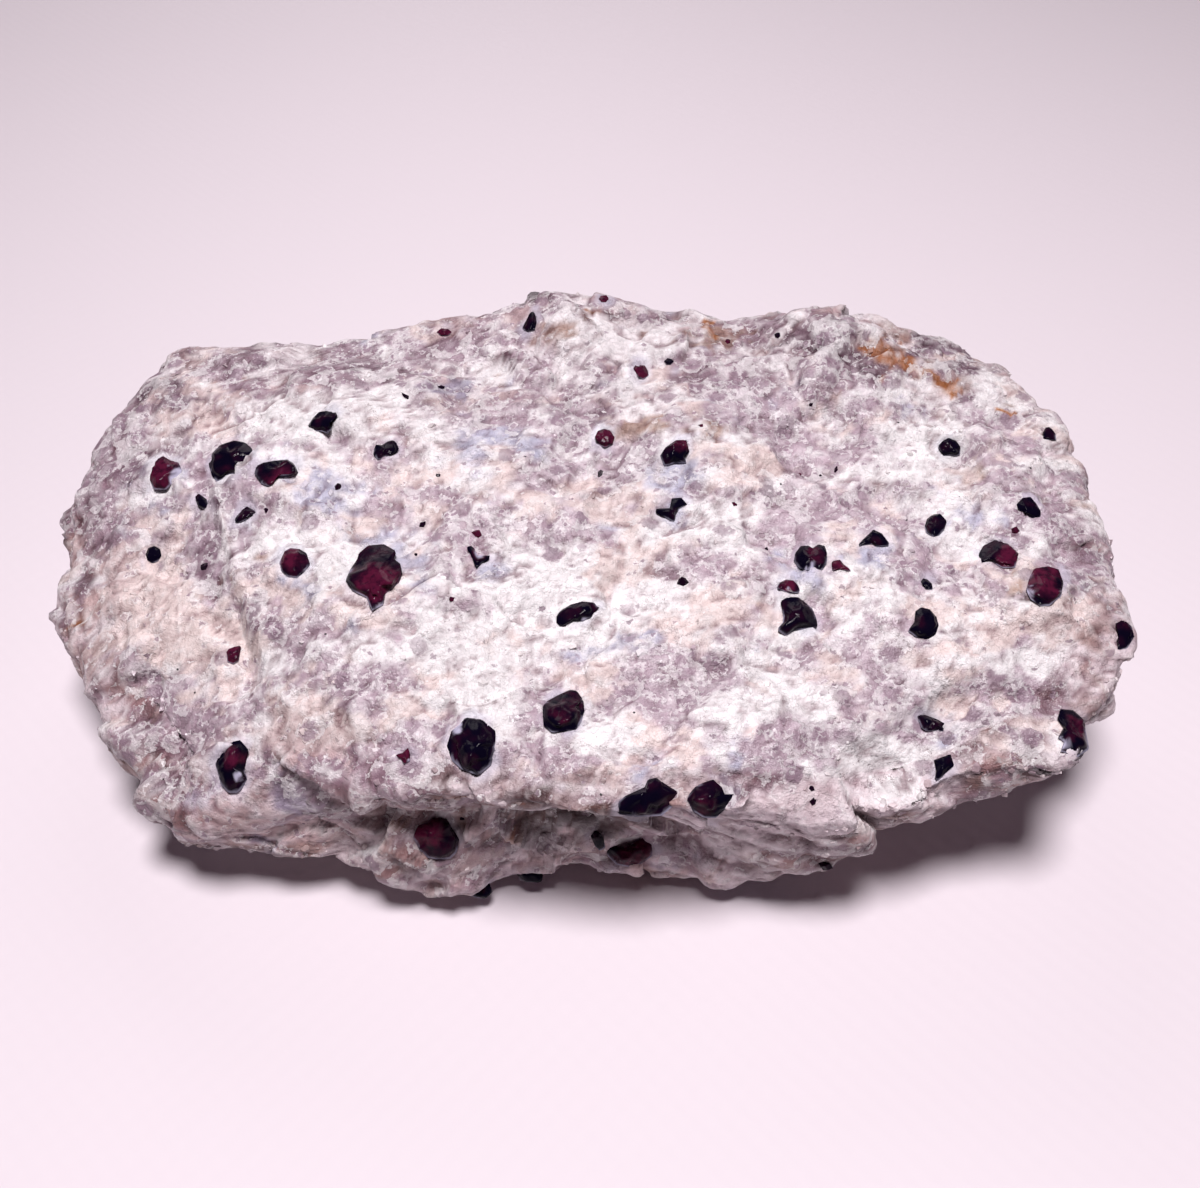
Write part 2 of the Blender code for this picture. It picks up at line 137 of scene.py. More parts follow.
# The minerals of the ground: their luck, how far it strays, the noise that it strays by (stretch along
# the specimen, size, seed, what each finer layer keeps), how much of it hangs on which random number of
# the small grains, the pull of the named patches, and the share of clear grains in it.
MINERALS = {
    "white": (0.42, 0.42, (0.75, 4.2, 41, 0.85), (0.16, 0), 1.15, 0.1),
    "cream": (0.30, 0.44, (0.75, 4.6, 51, 0.85), (0.16, 1), 0.90, 0.2),
    "quartz": (0.30, 0.44, (0.95, 5.2, 61, 0.85), (0.30, 2), 0.75, 0.8),
    "blue": (-0.05, 0.44, (1.0, 6.0, 71, 0.85), (0.15, 0), 0.90, 0.3),
    "dark": (-0.20, 0.46, (0.75, 3.4, 81, 0.90), (0.30, 1), 1.5, 0.9),
    "tan": (-0.12, 0.46, (1.0, 7.0, 91, 0.85), (0.10, 2), 1.0, 0.2),
    "rust": (-0.9, 0.7, (1.0, 5.0, 101, 0.66), (0.0, 0), 2.6, 0.1),
    "brown": (-0.7, 0.6, (0.75, 4.0, 111, 0.66), (0.15, 0), 1.5, 0.2),
}
# How sharply the luckiest mineral takes the place: the lower, the sharper.
MINERAL_BLEND = 0.09
# Minerals by place: across, up, and how far the patch reaches each way.
PATCHES = {
    "white": (
        (-23.2, 18.4, 5.3, 2.2), (24.0, -18.2, 5.5, 3.0), (17.5, -22.6, 5.0, 2.0),
        (-3.8, 3.3, 3.0, 1.8), (-5.3, -0.6, 5.8, 3.8), (-15.4, -5.4, 5.8, 2.9),
        (14.0, -11.6, 4.8, 2.4), (1.9, 24.0, 4.3, 2.1), (-30.8, 16.7, 4.3, 2.4),
        (31.8, 14.3, 3.8, 2.1), (11.5, 7.1, 2.9, 2.4), (44.3, -5.9, 4.3, 2.4), (-11.5, -9.2, 5.8, 2.4),
        (-26.0, 2.8, 2.9, 2.1), (29.4, 19.4, 3.4, 1.3), (5.8, -0.6, 4.8, 2.4), (1.0, -15.0, 3.8, 1.7),
        (22.1, -19.8, 4.3, 1.9), (39.5, -6.4, 3.8, 1.3), (9.0, -24.2, 3.5, 1.0),
        (28.0, -15.5, 4.0, 2.5),
    ),
    "cream": (
        (-5.8, 8.6, 2.9, 2.1), (9.6, -3.0, 5.3, 3.4), (1.9, 1.8, 3.4, 2.4), (24.1, 0.4, 2.9, 2.4),
        (39.5, -4.4, 4.8, 2.9), (-26.9, -13.1, 3.8, 3.8), (-42.3, -4.4, 4.8, 3.8),
        (-43.3, 3.3, 3.8, 3.8), (-23.1, -0.6, 3.8, 2.4), (-1.0, -17.9, 3.8, 1.9),
        (5.8, -14.1, 3.8, 1.9), (-34.6, -4.4, 2.9, 2.9), (46.2, -1.5, 2.9, 2.9),
        (-17.3, -9.2, 3.8, 1.9), (13.5, 11.9, 2.9, 1.9), (-37.5, 15.8, 2.9, 1.4),
    ),
    "blue": (
        (-10.6, 13.9, 3.4, 2.4), (7.2, 10.8, 1.9, 1.9), (6.9, 6.4, 2.1, 1.5), (38.5, 8.1, 3.4, 1.9),
        (-25.5, 9.5, 2.9, 1.4), (20.6, 1.6, 1.9, 1.2), (32.2, -14.4, 1.9, 1.4),
        (-39.5, -19.8, 2.9, 1.9), (-2.2, -4.9, 2.9, 1.4), (-15.4, 20.1, 2.9, 1.0),
        (-29.5, 0.7, 2.4, 1.2), (-17.8, 0.9, 1.4, 1.4), (-9.6, 1.8, 1.9, 1.4),
        (-30.3, -18.9, 1.4, 2.4), (26.0, 3.8, 2.4, 1.2), (17.3, 3.3, 1.2, 1.2),
        (12.5, -18.9, 1.4, 1.5), (4.3, -17.1, 2.9, 1.0), (-13.3, -19.3, 2.4, 1.2),
        (-23.1, -2.5, 1.9, 1.0), (3.8, -4.4, 2.4, 1.2),
    ),
    "quartz": (
        (7.2, -7.0, 3.1, 1.3), (12.2, -7.9, 2.4, 1.3), (25.9, -3.6, 2.7, 2.1), (28.4, -8.3, 2.9, 1.7),
        (18.5, -5.6, 2.4, 1.4), (24.6, 16.3, 1.5, 1.2), (25.9, 19.0, 2.4, 1.9), (36.2, 16.1, 1.3, 1.2),
        (21.2, 20.6, 4.3, 1.9), (19.2, 14.8, 3.8, 2.9), (13.5, 18.7, 3.8, 2.9), (-3.8, 16.7, 2.9, 1.9),
        (1.9, 11.9, 2.4, 1.9), (17.3, 6.2, 3.8, 1.9), (9.6, 2.3, 3.4, 1.4), (22.1, 8.1, 2.9, 1.9),
        (-9.6, 9.0, 1.9, 1.2), (-25.5, -3.0, 2.7, 2.1), (-30.3, -4.4, 2.1, 2.1),
        (-14.4, -0.6, 3.8, 1.9), (3.8, -10.2, 3.8, 1.9), (-3.8, -16.0, 4.8, 1.9),
        (21.2, -14.1, 3.8, 2.9), (28.9, -13.1, 2.4, 2.9), (36.6, -10.2, 2.9, 2.9),
        (42.3, -10.2, 2.4, 2.9), (15.4, -16.9, 2.9, 1.9), (-21.2, -9.2, 2.4, 1.4),
        (-26.9, -16.9, 1.7, 2.4), (44.3, 9.0, 2.4, 2.9), (39.5, 13.9, 1.9, 1.4), (46.2, 3.3, 1.9, 2.4),
        (9.6, -24.6, 3.8, 1.4), (-47.2, 15.8, 3.4, 3.8), (-33.7, 21.4, 10.6, 1.2),
        (-17.3, 22.5, 7.7, 1.4), (-11.5, 24.0, 3.8, 1.2), (-39.5, -12.1, 4.8, 4.8),
        (-43.3, -19.8, 2.9, 2.4), (-19.2, -4.4, 1.9, 1.3),
    ),
    "dark": (
        (24.0, 22.6, 2.2, 1.0), (23.0, 25.6, 1.4, 0.9), (31.2, 23.4, 1.4, 1.0), (28.6, 20.6, 1.4, 0.8),
        (34.6, 18.6, 1.6, 1.0), (35.5, 22.0, 1.6, 1.2), (-42.0, 19.6, 4.0, 1.0),
        (-24.0, 21.6, 6.0, 0.8), (33.0, 24.0, 2.0, 0.8), (20.4, 24.0, 3.4, 0.9),
        # The patches at -37.1, 3.3 and -33.7, -2.5 lie along the step of the left flank: painted shade in
        # its crevice.
        (22.6, 24.4, 1.6, 0.8), (30.9, 24.7, 1.0, 0.9), (25.0, 21.4, 1.9, 1.0), (-37.1, 3.3, 1.2, 3.8),
        (-33.7, -2.5, 1.9, 2.4), (-45.2, 11.9, 2.1, 2.9), (-36.1, 9.0, 1.3, 1.9),
        (-1.0, 16.3, 2.9, 1.0), (-26.0, -17.4, 1.0, 1.5),
    ),
    "tan": (
        (29.0, 23.4, 5.0, 2.0), (34.0, 20.6, 3.4, 1.4), (-36.0, 21.0, 6.0, 1.0),
        (14.0, 24.6, 6.0, 0.8), (3.8, 15.8, 5.8, 1.3), (4.8, 24.4, 2.9, 0.8), (-1.0, -22.2, 3.8, 1.0),
        (11.5, 24.0, 2.4, 0.8), (-3.8, 25.4, 2.4, 1.0), (38.5, 19.2, 2.4, 1.2), (24.1, 0.4, 1.7, 1.3),
        (40.1, 0.6, 1.3, 0.9), (-13.5, -20.8, 5.8, 1.3), (38.5, -18.9, 2.9, 0.8),
    ),
    "rust": (
        (27.6, 23.4, 2.4, 1.5), (29.4, 22.0, 2.0, 1.4), (31.8, 20.6, 1.9, 1.0), (25.9, 21.2, 1.2, 0.7),
        (33.6, 19.9, 1.2, 0.8), (10.6, 25.3, 1.1, 0.7), (-50.3, -2.5, 0.9, 0.6),
        (-26.5, -9.9, 0.7, 0.6), (-8.8, -23.4, 0.7, 0.6), (-0.7, 27.4, 1.2, 0.5),
        (10.5, 25.5, 1.2, 0.5), (38.5, 17.3, 0.8, 0.6), (23.4, 24.0, 0.8, 0.7),
    ),
    "brown": (
        (-15.4, -19.5, 7.7, 1.3), (-6.3, -19.3, 2.1, 1.2), (-4.0, -21.8, 6.0, 1.5),
        (3.0, -21.0, 6.0, 1.1), (1.9, -22.5, 3.8, 0.8), (9.6, -23.7, 3.8, 0.6), (-37.1, 4.7, 1.3, 2.1),
        (22.1, 23.5, 1.0, 0.6), (40.1, -0.6, 1.0, 0.6), (17.3, -20.0, 1.7, 0.4),
        (24.1, -21.3, 1.9, 0.4),
    ),
}
# Lumps and pits of the skin seen from the eye: across, up, reach each way, how far out.
SWELLS = (
    (-5.8, 8.6, 2.6, 2.0, 0.8),
    (9.6, -3.0, 4.0, 2.6, 0.5),
    (2.4, 1.9, 2.4, 1.8, 0.4),
    (-25.6, -11.6, 0.5, 0.7, -0.9),
    (-37.0, 11.9, 0.9, 0.6, -0.5),
    (-1.4, -25.6, 2.4, 0.9, -0.8),
    (22.5, 25.3, 5.0, 2.0, 0.8),
    (46.2, -15.2, 3.2, 2.8, 1.5),
)

# How strongly light bends in the minerals.
QUARTZ_IOR = 1.54
FELDSPAR_IOR = 1.53
GARNET_IOR = 1.80
# The backing sheet's dots: the length of a wave and half its height.
EMBOSS_SPACING = 2.4
EMBOSS_HEIGHT = 0.009

# --- The eye, and the garnets as it has them -----------------------------------------------------------

EYE = (0.0, -81.8, 102.8)
LOOKS_AT = (0.0, 0.0, 15.0)
LENS = 37.41
SENSOR_WIDTH = 36.0
# No outline reaches the first of these from its middle, and a gap of the second doesn't change the skin.
OUTLINE_LIMIT = 6.0
FAR = 9.0
# Points round the crystals off the show side, and how deep the smallest garnets are sunk.
BALL_SIDES = 36
SMALL_SUNK = 0.15
# The garnets too small for a solid: across, up, width, height, colour.
SMALL_GARNETS = (
    (-18.6, 19.0, 1.4, 0.5, "black"), (-15.4, 19.9, 1.1, 0.6, "black"),
    (-17.2, 6.6, 1.3, 0.6, "black"), (-15.6, 11.4, 0.6, 0.7, "black"), (8.0, 1.0, 1.8, 0.8, "black"),
    (22.7, 11.9, 0.5, 1.0, "black"), (0.0, 11.6, 0.7, 1.2, "black"), (-25.2, 10.3, 1.3, 0.8, "black"),
    (-14.3, -0.5, 0.8, 0.7, "red"), (12.9, 8.7, 0.9, 0.5, "red"), (9.7, 16.2, 0.7, 0.6, "red"),
    (-17.7, 3.8, 0.6, 0.6, "black"), (-32.1, 8.1, 0.8, 0.5, "black"), (16.0, 4.3, 0.6, 0.7, "black"),
    (19.3, 11.5, 0.5, 0.5, "red"), (21.2, 11.4, 0.5, 0.5, "black"), (20.3, 18.2, 0.6, 0.6, "black"),
    (12.3, 24.3, 0.8, 0.8, "red"), (17.1, 24.9, 0.9, 0.7, "black"), (-13.3, -21.6, 0.9, 0.6, "black"),
    (-11.8, 5.8, 1.3, 1.1, "red"), (20.4, -18.7, 0.8, 0.8, "black"), (20.5, -20.0, 0.8, 1.1, "black"),
    (-38.0, 2.6, 0.9, 1.2, "black"), (40.0, 6.1, 1.0, 1.2, "red"), (21.7, -26.2, 1.2, 1.5, "black"),
    (-11.7, -5.9, 0.4, 0.4, "black"), (-1.1, -8.0, 0.3, 0.3, "black"),
    (-1.5, -14.5, 0.3, 0.3, "black"), (0.4, -14.5, 0.3, 0.3, "black"), (-3.1, 2.7, 0.3, 0.3, "black"),
    (2.0, 2.4, 0.3, 0.3, "black"), (-20.1, -20.2, 0.4, 0.4, "black"), (-2.2, 1.6, 0.3, 0.3, "black"),
    (5.1, 3.3, 0.3, 0.3, "black"), (13.0, 3.3, 0.3, 0.3, "black"), (-5.8, -9.2, 0.3, 0.3, "black"),
)
# The crystals that show red. The others look black.
RED_CRYSTALS = (3, 9, 10, 11, 13, 16, 21, 24, 26, 30, 32, 33, 35, 40, 41, 53, 56, 59)
# The garnets of the show side: across and up of the middle, then the outline round it as the eye has it.
SHOWN_GARNETS = {
    1: (-26.8, 16.7, (
        (-1.3, -0.7), (-1.2, -0.4), (-0.8, 0.2), (-0.2, 0.8), (0.5, 0.9), (1.3, 0.8), (1.7, 0.5),
        (1.3, 0.1), (0.8, -0.3), (0.9, -0.8), (0.5, -1.2), (0.0, -1.0), (-0.7, -1.0),
    )),
    2: (-20.7, 14.0, (
        (-1.1, -0.6), (-1.0, 0.0), (-0.8, 0.4), (-0.3, 0.3), (0.3, 0.7), (0.8, 0.8), (1.1, 0.5),
        (1.3, 0.0), (1.1, -0.4), (0.6, -0.7), (-0.1, -0.7), (-0.6, -1.1),
    )),
    3: (-42.1, 11.7, (
        (-1.2, -0.2), (-1.0, 0.4), (-0.6, 1.1), (0.1, 1.5), (0.7, 1.1), (1.4, 0.9), (1.7, 0.1),
        (1.0, -0.8), (0.2, -1.6), (-0.8, -1.5), (-1.1, -0.7),
    )),
    4: (-35.5, 13.0, (
        (-2.0, -0.5), (-1.7, 0.5), (-0.9, 1.3), (0.3, 1.7), (1.3, 1.5), (1.9, 0.9), (2.3, 0.1),
        (1.5, -0.7), (0.5, -1.3), (-0.6, -1.5), (-1.2, -2.2), (-1.7, -1.6),
    )),
    5: (-30.9, 11.6, (
        (-2.2, 0.0), (-2.0, 0.7), (-1.4, 1.0), (-0.3, 1.2), (0.8, 1.3), (1.4, 0.9), (1.8, -0.1),
        (1.2, -0.1), (0.3, -0.2), (-0.5, -0.4), (-0.6, -0.9), (-0.7, -1.3), (-1.6, -1.0),
    )),
    6: (-38.5, 9.0, (
        (-0.5, 0.6), (-0.3, 0.8), (0.1, 0.5), (0.6, 0.1), (0.8, -0.8), (0.3, -0.8), (-0.2, -0.5),
        (-0.4, 0.1),
    )),
    7: (-34.3, 7.7, (
        (-0.9, -0.8), (-0.7, -0.3), (-0.1, 0.4), (0.3, 0.7), (1.2, 0.2), (0.6, -0.2), (0.2, -0.5),
        (-0.4, -0.8), (-0.7, -0.9),
    )),
    8: (-43.0, 3.8, (
        (-0.65, 0.0), (-0.4, 0.6), (0.1, 0.8), (0.6, 0.5), (0.7, -0.1), (0.4, -0.6), (-0.1, -0.8),
        (-0.5, -0.5),
    )),
    9: (-29.5, 3.1, (
        (-1.3, -0.1), (-0.8, 1.0), (-0.3, 1.3), (0.6, 1.2), (1.2, 0.8), (1.5, -0.2), (0.9, -1.0),
        (0.3, -1.5), (-0.5, -1.4), (-1.1, -0.9),
    )),
    10: (-21.8, 1.7, (
        (-2.6, -0.4), (-2.2, 0.6), (-1.5, 1.7), (-1.4, 2.2), (-0.5, 3.0), (1.0, 3.1), (2.2, 2.4),
        (1.9, 1.7), (2.5, 1.2), (2.7, 0.2), (2.3, -0.7), (1.0, -1.7), (0.9, -2.6), (-0.2, -3.2),
        (-0.6, -2.0), (-2.0, -1.3),
    )),
    11: (-35.3, -5.8, (
        (-0.6, 0.2), (-0.4, 0.5), (0.1, 0.7), (0.7, 0.8), (0.6, 0.1), (0.5, -0.6), (0.0, -0.9),
        (-0.5, -0.7),
    )),
    12: (-35.4, -16.7, (
        (-1.5, 0.3), (-1.1, 1.3), (-0.2, 2.3), (0.6, 2.5), (1.4, 1.6), (1.2, 0.5), (1.1, -0.4),
        (1.5, -1.1), (0.6, -2.3), (-0.2, -2.3), (-0.9, -1.6),
    )),
    13: (-15.8, -23.4, (
        (-2.1, 0.0), (-1.7, 1.0), (-0.8, 1.4), (-0.3, 1.8), (0.9, 1.8), (1.5, 0.8), (2.2, -0.2),
        (2.0, -1.4), (1.4, -2.0), (0.4, -2.1), (-0.8, -1.9), (-1.5, -1.1),
    )),
    14: (-12.3, -14.6, (
        (-2.4, 0.0), (-2.0, 1.4), (-1.2, 2.0), (-0.7, 2.7), (0.9, 2.5), (2.2, 1.4), (2.2, -0.4),
        (1.8, -1.8), (0.6, -2.8), (-1.0, -2.2), (-1.9, -1.4),
    )),
    15: (-3.6, -11.2, (
        (-2.0, 0.6), (-0.6, 1.4), (0.7, 2.0), (1.4, 1.9), (2.0, 1.0), (2.1, 0.0), (1.8, -1.0),
        (1.3, -1.8), (-0.1, -2.0), (-1.0, -2.1), (-1.8, -1.4),
    )),
    16: (-18.7, -15.9, (
        (-1.0, 0.4), (-0.3, 0.6), (0.2, 1.1), (0.4, 0.5), (0.4, -0.2), (-0.1, -0.5), (-0.5, 0.0),
    )),
    17: (-11.8, 3.7, (
        (-1.1, 0.7), (-0.7, 1.0), (-0.3, 0.7), (0.0, -0.1), (0.3, -0.2), (0.7, 0.1), (1.2, 0.2),
        (1.1, -0.5), (0.5, -0.6), (-0.1, -1.3), (-0.4, -0.5), (-0.7, 0.2),
    )),
    18: (-2.2, -1.9, (
        (-2.0, -0.2), (-1.6, 0.3), (-0.6, 0.9), (0.5, 1.2), (1.6, 1.1), (2.2, 0.5), (1.6, 0.1),
        (1.4, -0.3), (0.5, -0.7), (-0.5, -0.7), (-1.5, -1.3), (-2.0, -0.9),
    )),
    19: (4.5, -19.2, (
        (-2.9, -0.9), (-2.0, -0.2), (-0.2, 0.6), (0.1, 1.3), (0.9, 1.5), (1.9, 0.8), (3.4, 0.0),
        (2.6, -1.1), (1.4, -2.1), (-1.2, -2.2), (-2.8, -1.9),
    )),
    20: (10.6, -19.8, (
        (-2.4, 0.0), (-1.4, 1.2), (-0.6, 1.6), (0.3, 1.9), (1.1, 1.2), (1.4, 0.5), (2.3, 0.8),
        (2.0, -0.3), (1.4, -0.9), (0.5, -1.7), (-0.6, -1.7), (-1.7, -1.0),
    )),
    21: (3.1, -24.9, (
        (-2.5, 0.6), (-1.7, 0.7), (-0.9, 0.4), (0.0, 0.8), (1.0, 1.4), (2.0, 0.7), (1.9, -0.3),
        (0.9, -1.0), (-0.3, -1.3), (-1.5, -1.1), (-2.3, -0.3),
    )),
    22: (-0.5, -23.6, (
        (-0.4, 0.3), (0.0, 0.8), (0.6, 0.5), (0.9, -0.1), (1.0, -0.8), (0.5, -1.1), (0.0, -0.6),
    )),
    23: (19.0, -2.1, (
        (-1.6, 1.4), (-0.9, 1.8), (-0.1, 1.9), (0.6, 1.4), (1.4, 0.7), (1.8, -0.3), (1.9, -1.1),
        (0.5, -1.3), (-0.3, -1.4), (-1.1, -1.9), (-2.0, -1.3), (-1.4, -0.8), (-1.3, 0.0),
    )),
    24: (18.0, 1.0, (
        (-1.0, -0.4), (-0.7, 0.1), (-0.1, 0.4), (0.6, 0.3), (1.0, -0.1), (1.2, -0.6), (1.1, -0.9),
        (0.3, -0.9), (-0.4, -0.7),
    )),
    25: (20.2, 3.6, (
        (-1.5, -0.4), (-1.4, 0.3), (-0.9, 1.0), (-0.1, 1.1), (0.3, 0.8), (0.7, 1.2), (1.4, 1.0),
        (1.6, 0.3), (1.6, -0.5), (1.1, -1.3), (0.4, -1.1), (-0.3, -1.3), (-1.0, -1.1),
    )),
    26: (23.3, 2.7, (
        (-1.0, 0.3), (-0.8, 0.5), (-0.2, 0.6), (0.1, 0.2), (1.0, -0.5), (0.3, -0.4), (-0.3, -0.3),
        (-0.9, -0.5),
    )),
    27: (26.2, 5.4, (
        (-1.5, -0.9), (-0.8, -0.1), (0.1, 0.8), (0.9, 0.4), (1.7, -0.7), (0.7, -0.8), (-0.1, -0.6),
        (-0.9, -0.7),
    )),
    28: (7.2, 13.7, (
        (-1.4, -0.4), (-0.9, 0.4), (0.1, 1.1), (1.1, 1.1), (1.4, 0.0), (1.0, -0.5), (1.1, -1.1),
        (-0.1, -1.1), (-1.0, -1.4),
    )),
    29: (6.9, 8.2, (
        (-1.6, -0.4), (-1.4, 0.2), (-0.8, 0.0), (-0.2, 0.1), (0.0, 1.0), (0.9, 1.1), (1.6, 0.3),
        (0.8, 0.1), (0.4, -0.5), (0.3, -1.3), (-0.7, -0.8),
    )),
    30: (3.9, 21.5, (
        (-0.7, 0.2), (-0.5, 0.5), (0.4, 0.5), (0.7, 0.0), (0.8, -0.5), (0.3, -0.8), (-0.2, -0.6),
    )),
    31: (6.6, 22.4, (
        (-0.45, 0.0), (-0.1, 0.3), (0.3, 0.2), (0.5, 0.0), (0.2, -0.35), (-0.2, -0.3),
    )),
    32: (0.4, 15.1, (
        (-0.9, 0.0), (-0.6, 0.6), (0.0, 0.8), (0.6, 0.6), (1.0, 0.0), (0.8, -0.7), (0.1, -1.0),
        (-0.6, -0.7),
    )),
    33: (0.4, 28.4, (
        (-0.5, 0.0), (-0.3, 0.3), (0.2, 0.35), (0.5, 0.0), (0.2, -0.3), (-0.3, -0.3),
    )),
    34: (-6.8, 25.9, (
        (-0.7, -0.3), (-0.3, 0.4), (0.1, 1.2), (0.5, 1.2), (0.7, 0.3), (0.5, -0.5), (-0.3, -0.6),
    )),
    35: (-15.0, 25.2, (
        (-0.7, 0.0), (-0.3, 0.35), (0.4, 0.3), (0.7, 0.0), (0.4, -0.3), (-0.3, -0.35),
    )),
    36: (33.6, 14.1, (
        (-1.0, 0.1), (-0.6, 0.6), (-0.1, 0.9), (0.6, 0.6), (1.0, 0.1), (1.0, -0.6), (0.7, -0.8),
        (0.1, -0.7), (-0.5, -0.8),
    )),
    37: (42.7, 15.2, (
        (0.2, 1.0), (0.7, 0.6), (1.0, 0.2), (1.1, -0.5), (0.5, -0.3), (0.0, -0.4), (-0.1, 0.3),
    )),
    38: (32.2, 6.6, (
        (-0.9, -0.1), (-0.7, 0.6), (-0.2, 1.0), (0.5, 1.1), (1.1, 0.4), (0.9, -0.3), (0.4, -0.9),
        (-0.1, -1.1), (-0.7, -0.7),
    )),
    39: (41.3, 8.3, (
        (-1.1, 0.3), (-0.6, 0.9), (0.1, 1.0), (0.6, 0.4), (1.0, -0.3), (1.0, -1.0), (0.2, -0.9),
        (-0.4, -0.4), (-0.9, -0.2),
    )),
    40: (38.4, 3.9, (
        (-1.8, -0.1), (-1.4, 0.7), (-0.3, 1.3), (0.8, 0.9), (1.7, 0.0), (1.4, -1.3), (0.3, -1.3),
        (-0.7, -0.7), (-1.5, -0.8),
    )),
    41: (42.8, 0.8, (
        (-1.6, -0.4), (-1.3, 0.8), (-0.9, 1.6), (0.3, 1.8), (1.2, 1.5), (1.6, 0.3), (1.4, -1.0),
        (0.4, -1.8), (-0.4, -1.8), (-1.2, -1.2),
    )),
    42: (31.1, -2.8, (
        (-1.4, -0.7), (-0.8, 0.1), (-0.7, 1.1), (-0.2, 1.5), (0.6, 1.3), (1.2, 0.6), (1.4, -0.2),
        (1.1, -1.1), (0.4, -1.5), (-0.6, -1.3),
    )),
    43: (31.4, 1.0, (
        (-0.5, 0.2), (-0.3, 0.5), (0.1, 0.4), (0.5, 0.0), (0.6, -0.6), (0.0, -0.5), (-0.3, -0.2),
    )),
    44: (49.9, -3.9, (
        (-0.5, 1.5), (0.4, 1.4), (1.1, 0.7), (1.3, -0.2), (0.7, -1.2), (-0.3, -1.7), (0.1, -0.6),
        (0.1, 0.5),
    )),
    45: (45.3, -13.3, (
        (-1.1, 1.1), (-0.8, 2.1), (0.3, 2.0), (1.2, 1.1), (1.3, -0.1), (1.5, -1.5), (0.5, -2.2),
        (-0.9, -1.7), (-0.3, -1.2), (-1.1, -0.5), (-0.6, 0.4),
    )),
    46: (32.0, -12.4, (
        (-1.4, 0.8), (-0.5, 0.7), (0.5, 0.3), (1.3, -0.2), (1.0, -0.4), (1.3, -1.0), (0.5, -0.7),
        (-0.5, -0.8), (-1.0, -0.5),
    )),
    47: (33.0, -16.4, (
        (-0.8, 0.4), (0.3, 0.8), (0.7, 1.0), (1.0, -0.1), (0.2, -0.8), (-0.5, -1.5), (-0.8, -1.3),
        (-0.6, -0.6),
    )),
}
# Where wine red shows in them: across and up from the middle, reach, strength.
EMBERS = {
    3: (-0.4, 0.2, 1.5, 0.8), 5: (0.3, -0.4, 1.0, 0.6), 9: (-0.6, 0.5, 0.9, 1.0),
    10: (0.4, -0.6, 1.6, 1.0), 11: (0.0, 0.0, 0.8, 0.9), 12: (0.1, 0.9, 0.9, 0.8),
    13: (-0.9, 0.2, 1.3, 1.0), 15: (0.3, 0.3, 1.5, 0.25), 16: (0.0, 0.2, 0.9, 0.8),
    17: (0.1, 0.2, 0.6, 0.8), 20: (0.0, -0.6, 0.8, 0.3), 21: (0.0, 0.2, 1.6, 0.6),
    24: (0.2, 0.0, 0.9, 0.8), 25: (0.6, 0.4, 0.8, 0.4), 26: (0.0, 0.1, 0.9, 0.8),
    28: (0.7, 0.6, 0.8, 0.7), 30: (0.0, 0.0, 0.8, 0.9), 32: (0.0, 0.0, 1.6, 2.0),
    33: (0.0, 0.0, 0.8, 1.0), 35: (0.0, 0.0, 0.8, 0.8), 40: (0.9, -0.2, 1.0, 1.0),
    41: (-0.3, 0.5, 1.3, 1.0), 45: (0.3, 0.5, 1.0, 0.4),
}
# Where pale rock still clings to them: across and up from the middle, and reach.
CRUSTS = {
    3: (1.3, -0.2, 0.8), 5: (0.6, -0.6, 0.6), 12: (0.6, -0.9, 0.45), 14: (-1.3, 1.6, 0.6),
    16: (0.5, -0.4, 0.4), 17: (0.2, 0.2, 0.45), 18: (1.0, -0.7, 0.5), 24: (0.1, -0.4, 0.25),
    25: (0.0, -1.2, 0.6), 29: (0.9, -0.4, 0.5), 41: (-1.3, -0.6, 0.5), 45: (-0.7, -0.9, 0.6),
}


def linear(code):
    """An sRGB hex colour as the linear red, green and blue that Blender works with."""
    parts = [int(code[i : i + 2], 16) / 255.0 for i in (1, 3, 5)]
    return tuple(part / 12.92 if part <= 0.04045 else ((part + 0.055) / 1.055) ** 2.4 for part in parts)


# --- Noise and form ------------------------------------------------------------------------------------


def smooth(value):
    """0 below 0, 1 above 1, and an S-shaped ramp between."""
    value = np.clip(value, 0.0, 1.0)
    return value * value * (3.0 - 2.0 * value)


def chance(cell, seed):
    """Three numbers from 0 to 1 for each whole-number cell (n x 3), always the same for the same cell."""
    with np.errstate(over="ignore"):
        key = cell.astype(np.int64).astype(np.uint32)
        mixed = key[:, 0] * np.uint32(374761393) + key[:, 1] * np.uint32(668265263)
        mixed = mixed + key[:, 2] * np.uint32(2246822519) + np.uint32(seed * 3266489917 % 2**32)
        found = []
        for _ in range(3):
            mixed = (mixed ^ (mixed >> np.uint32(15))) * np.uint32(2246822519)
            mixed = (mixed ^ (mixed >> np.uint32(13))) * np.uint32(3266489917)
            mixed = mixed ^ (mixed >> np.uint32(16))
            found.append(mixed.astype(np.float64) / 2**32)
    return np.stack(found, axis=1)


def wander(points, size, seed):
    """Smooth noise from -1 to 1: random values at the corners of cubes of this size, blended between."""
    place = points / size
    corner = np.floor(place)
    within = smooth(place - corner)
    total = np.zeros(len(points))
    for step in np.ndindex(2, 2, 2):
        weight = np.prod(np.where(np.array(step) == 1, within, 1.0 - within), axis=1)
        total += weight * chance(corner + step, seed)[:, 0]
    return 2.0 * total - 1.0


def broken(points, size, octaves, seed, keep=0.66):
    """Fractal noise from about -1 to 1: each finer layer is half the size and `keep` as strong."""
    total = np.zeros(len(points))
    for octave in range(octaves):
        total += keep**octave * wander(points, size / 2.0**octave, seed + octave)
    return total


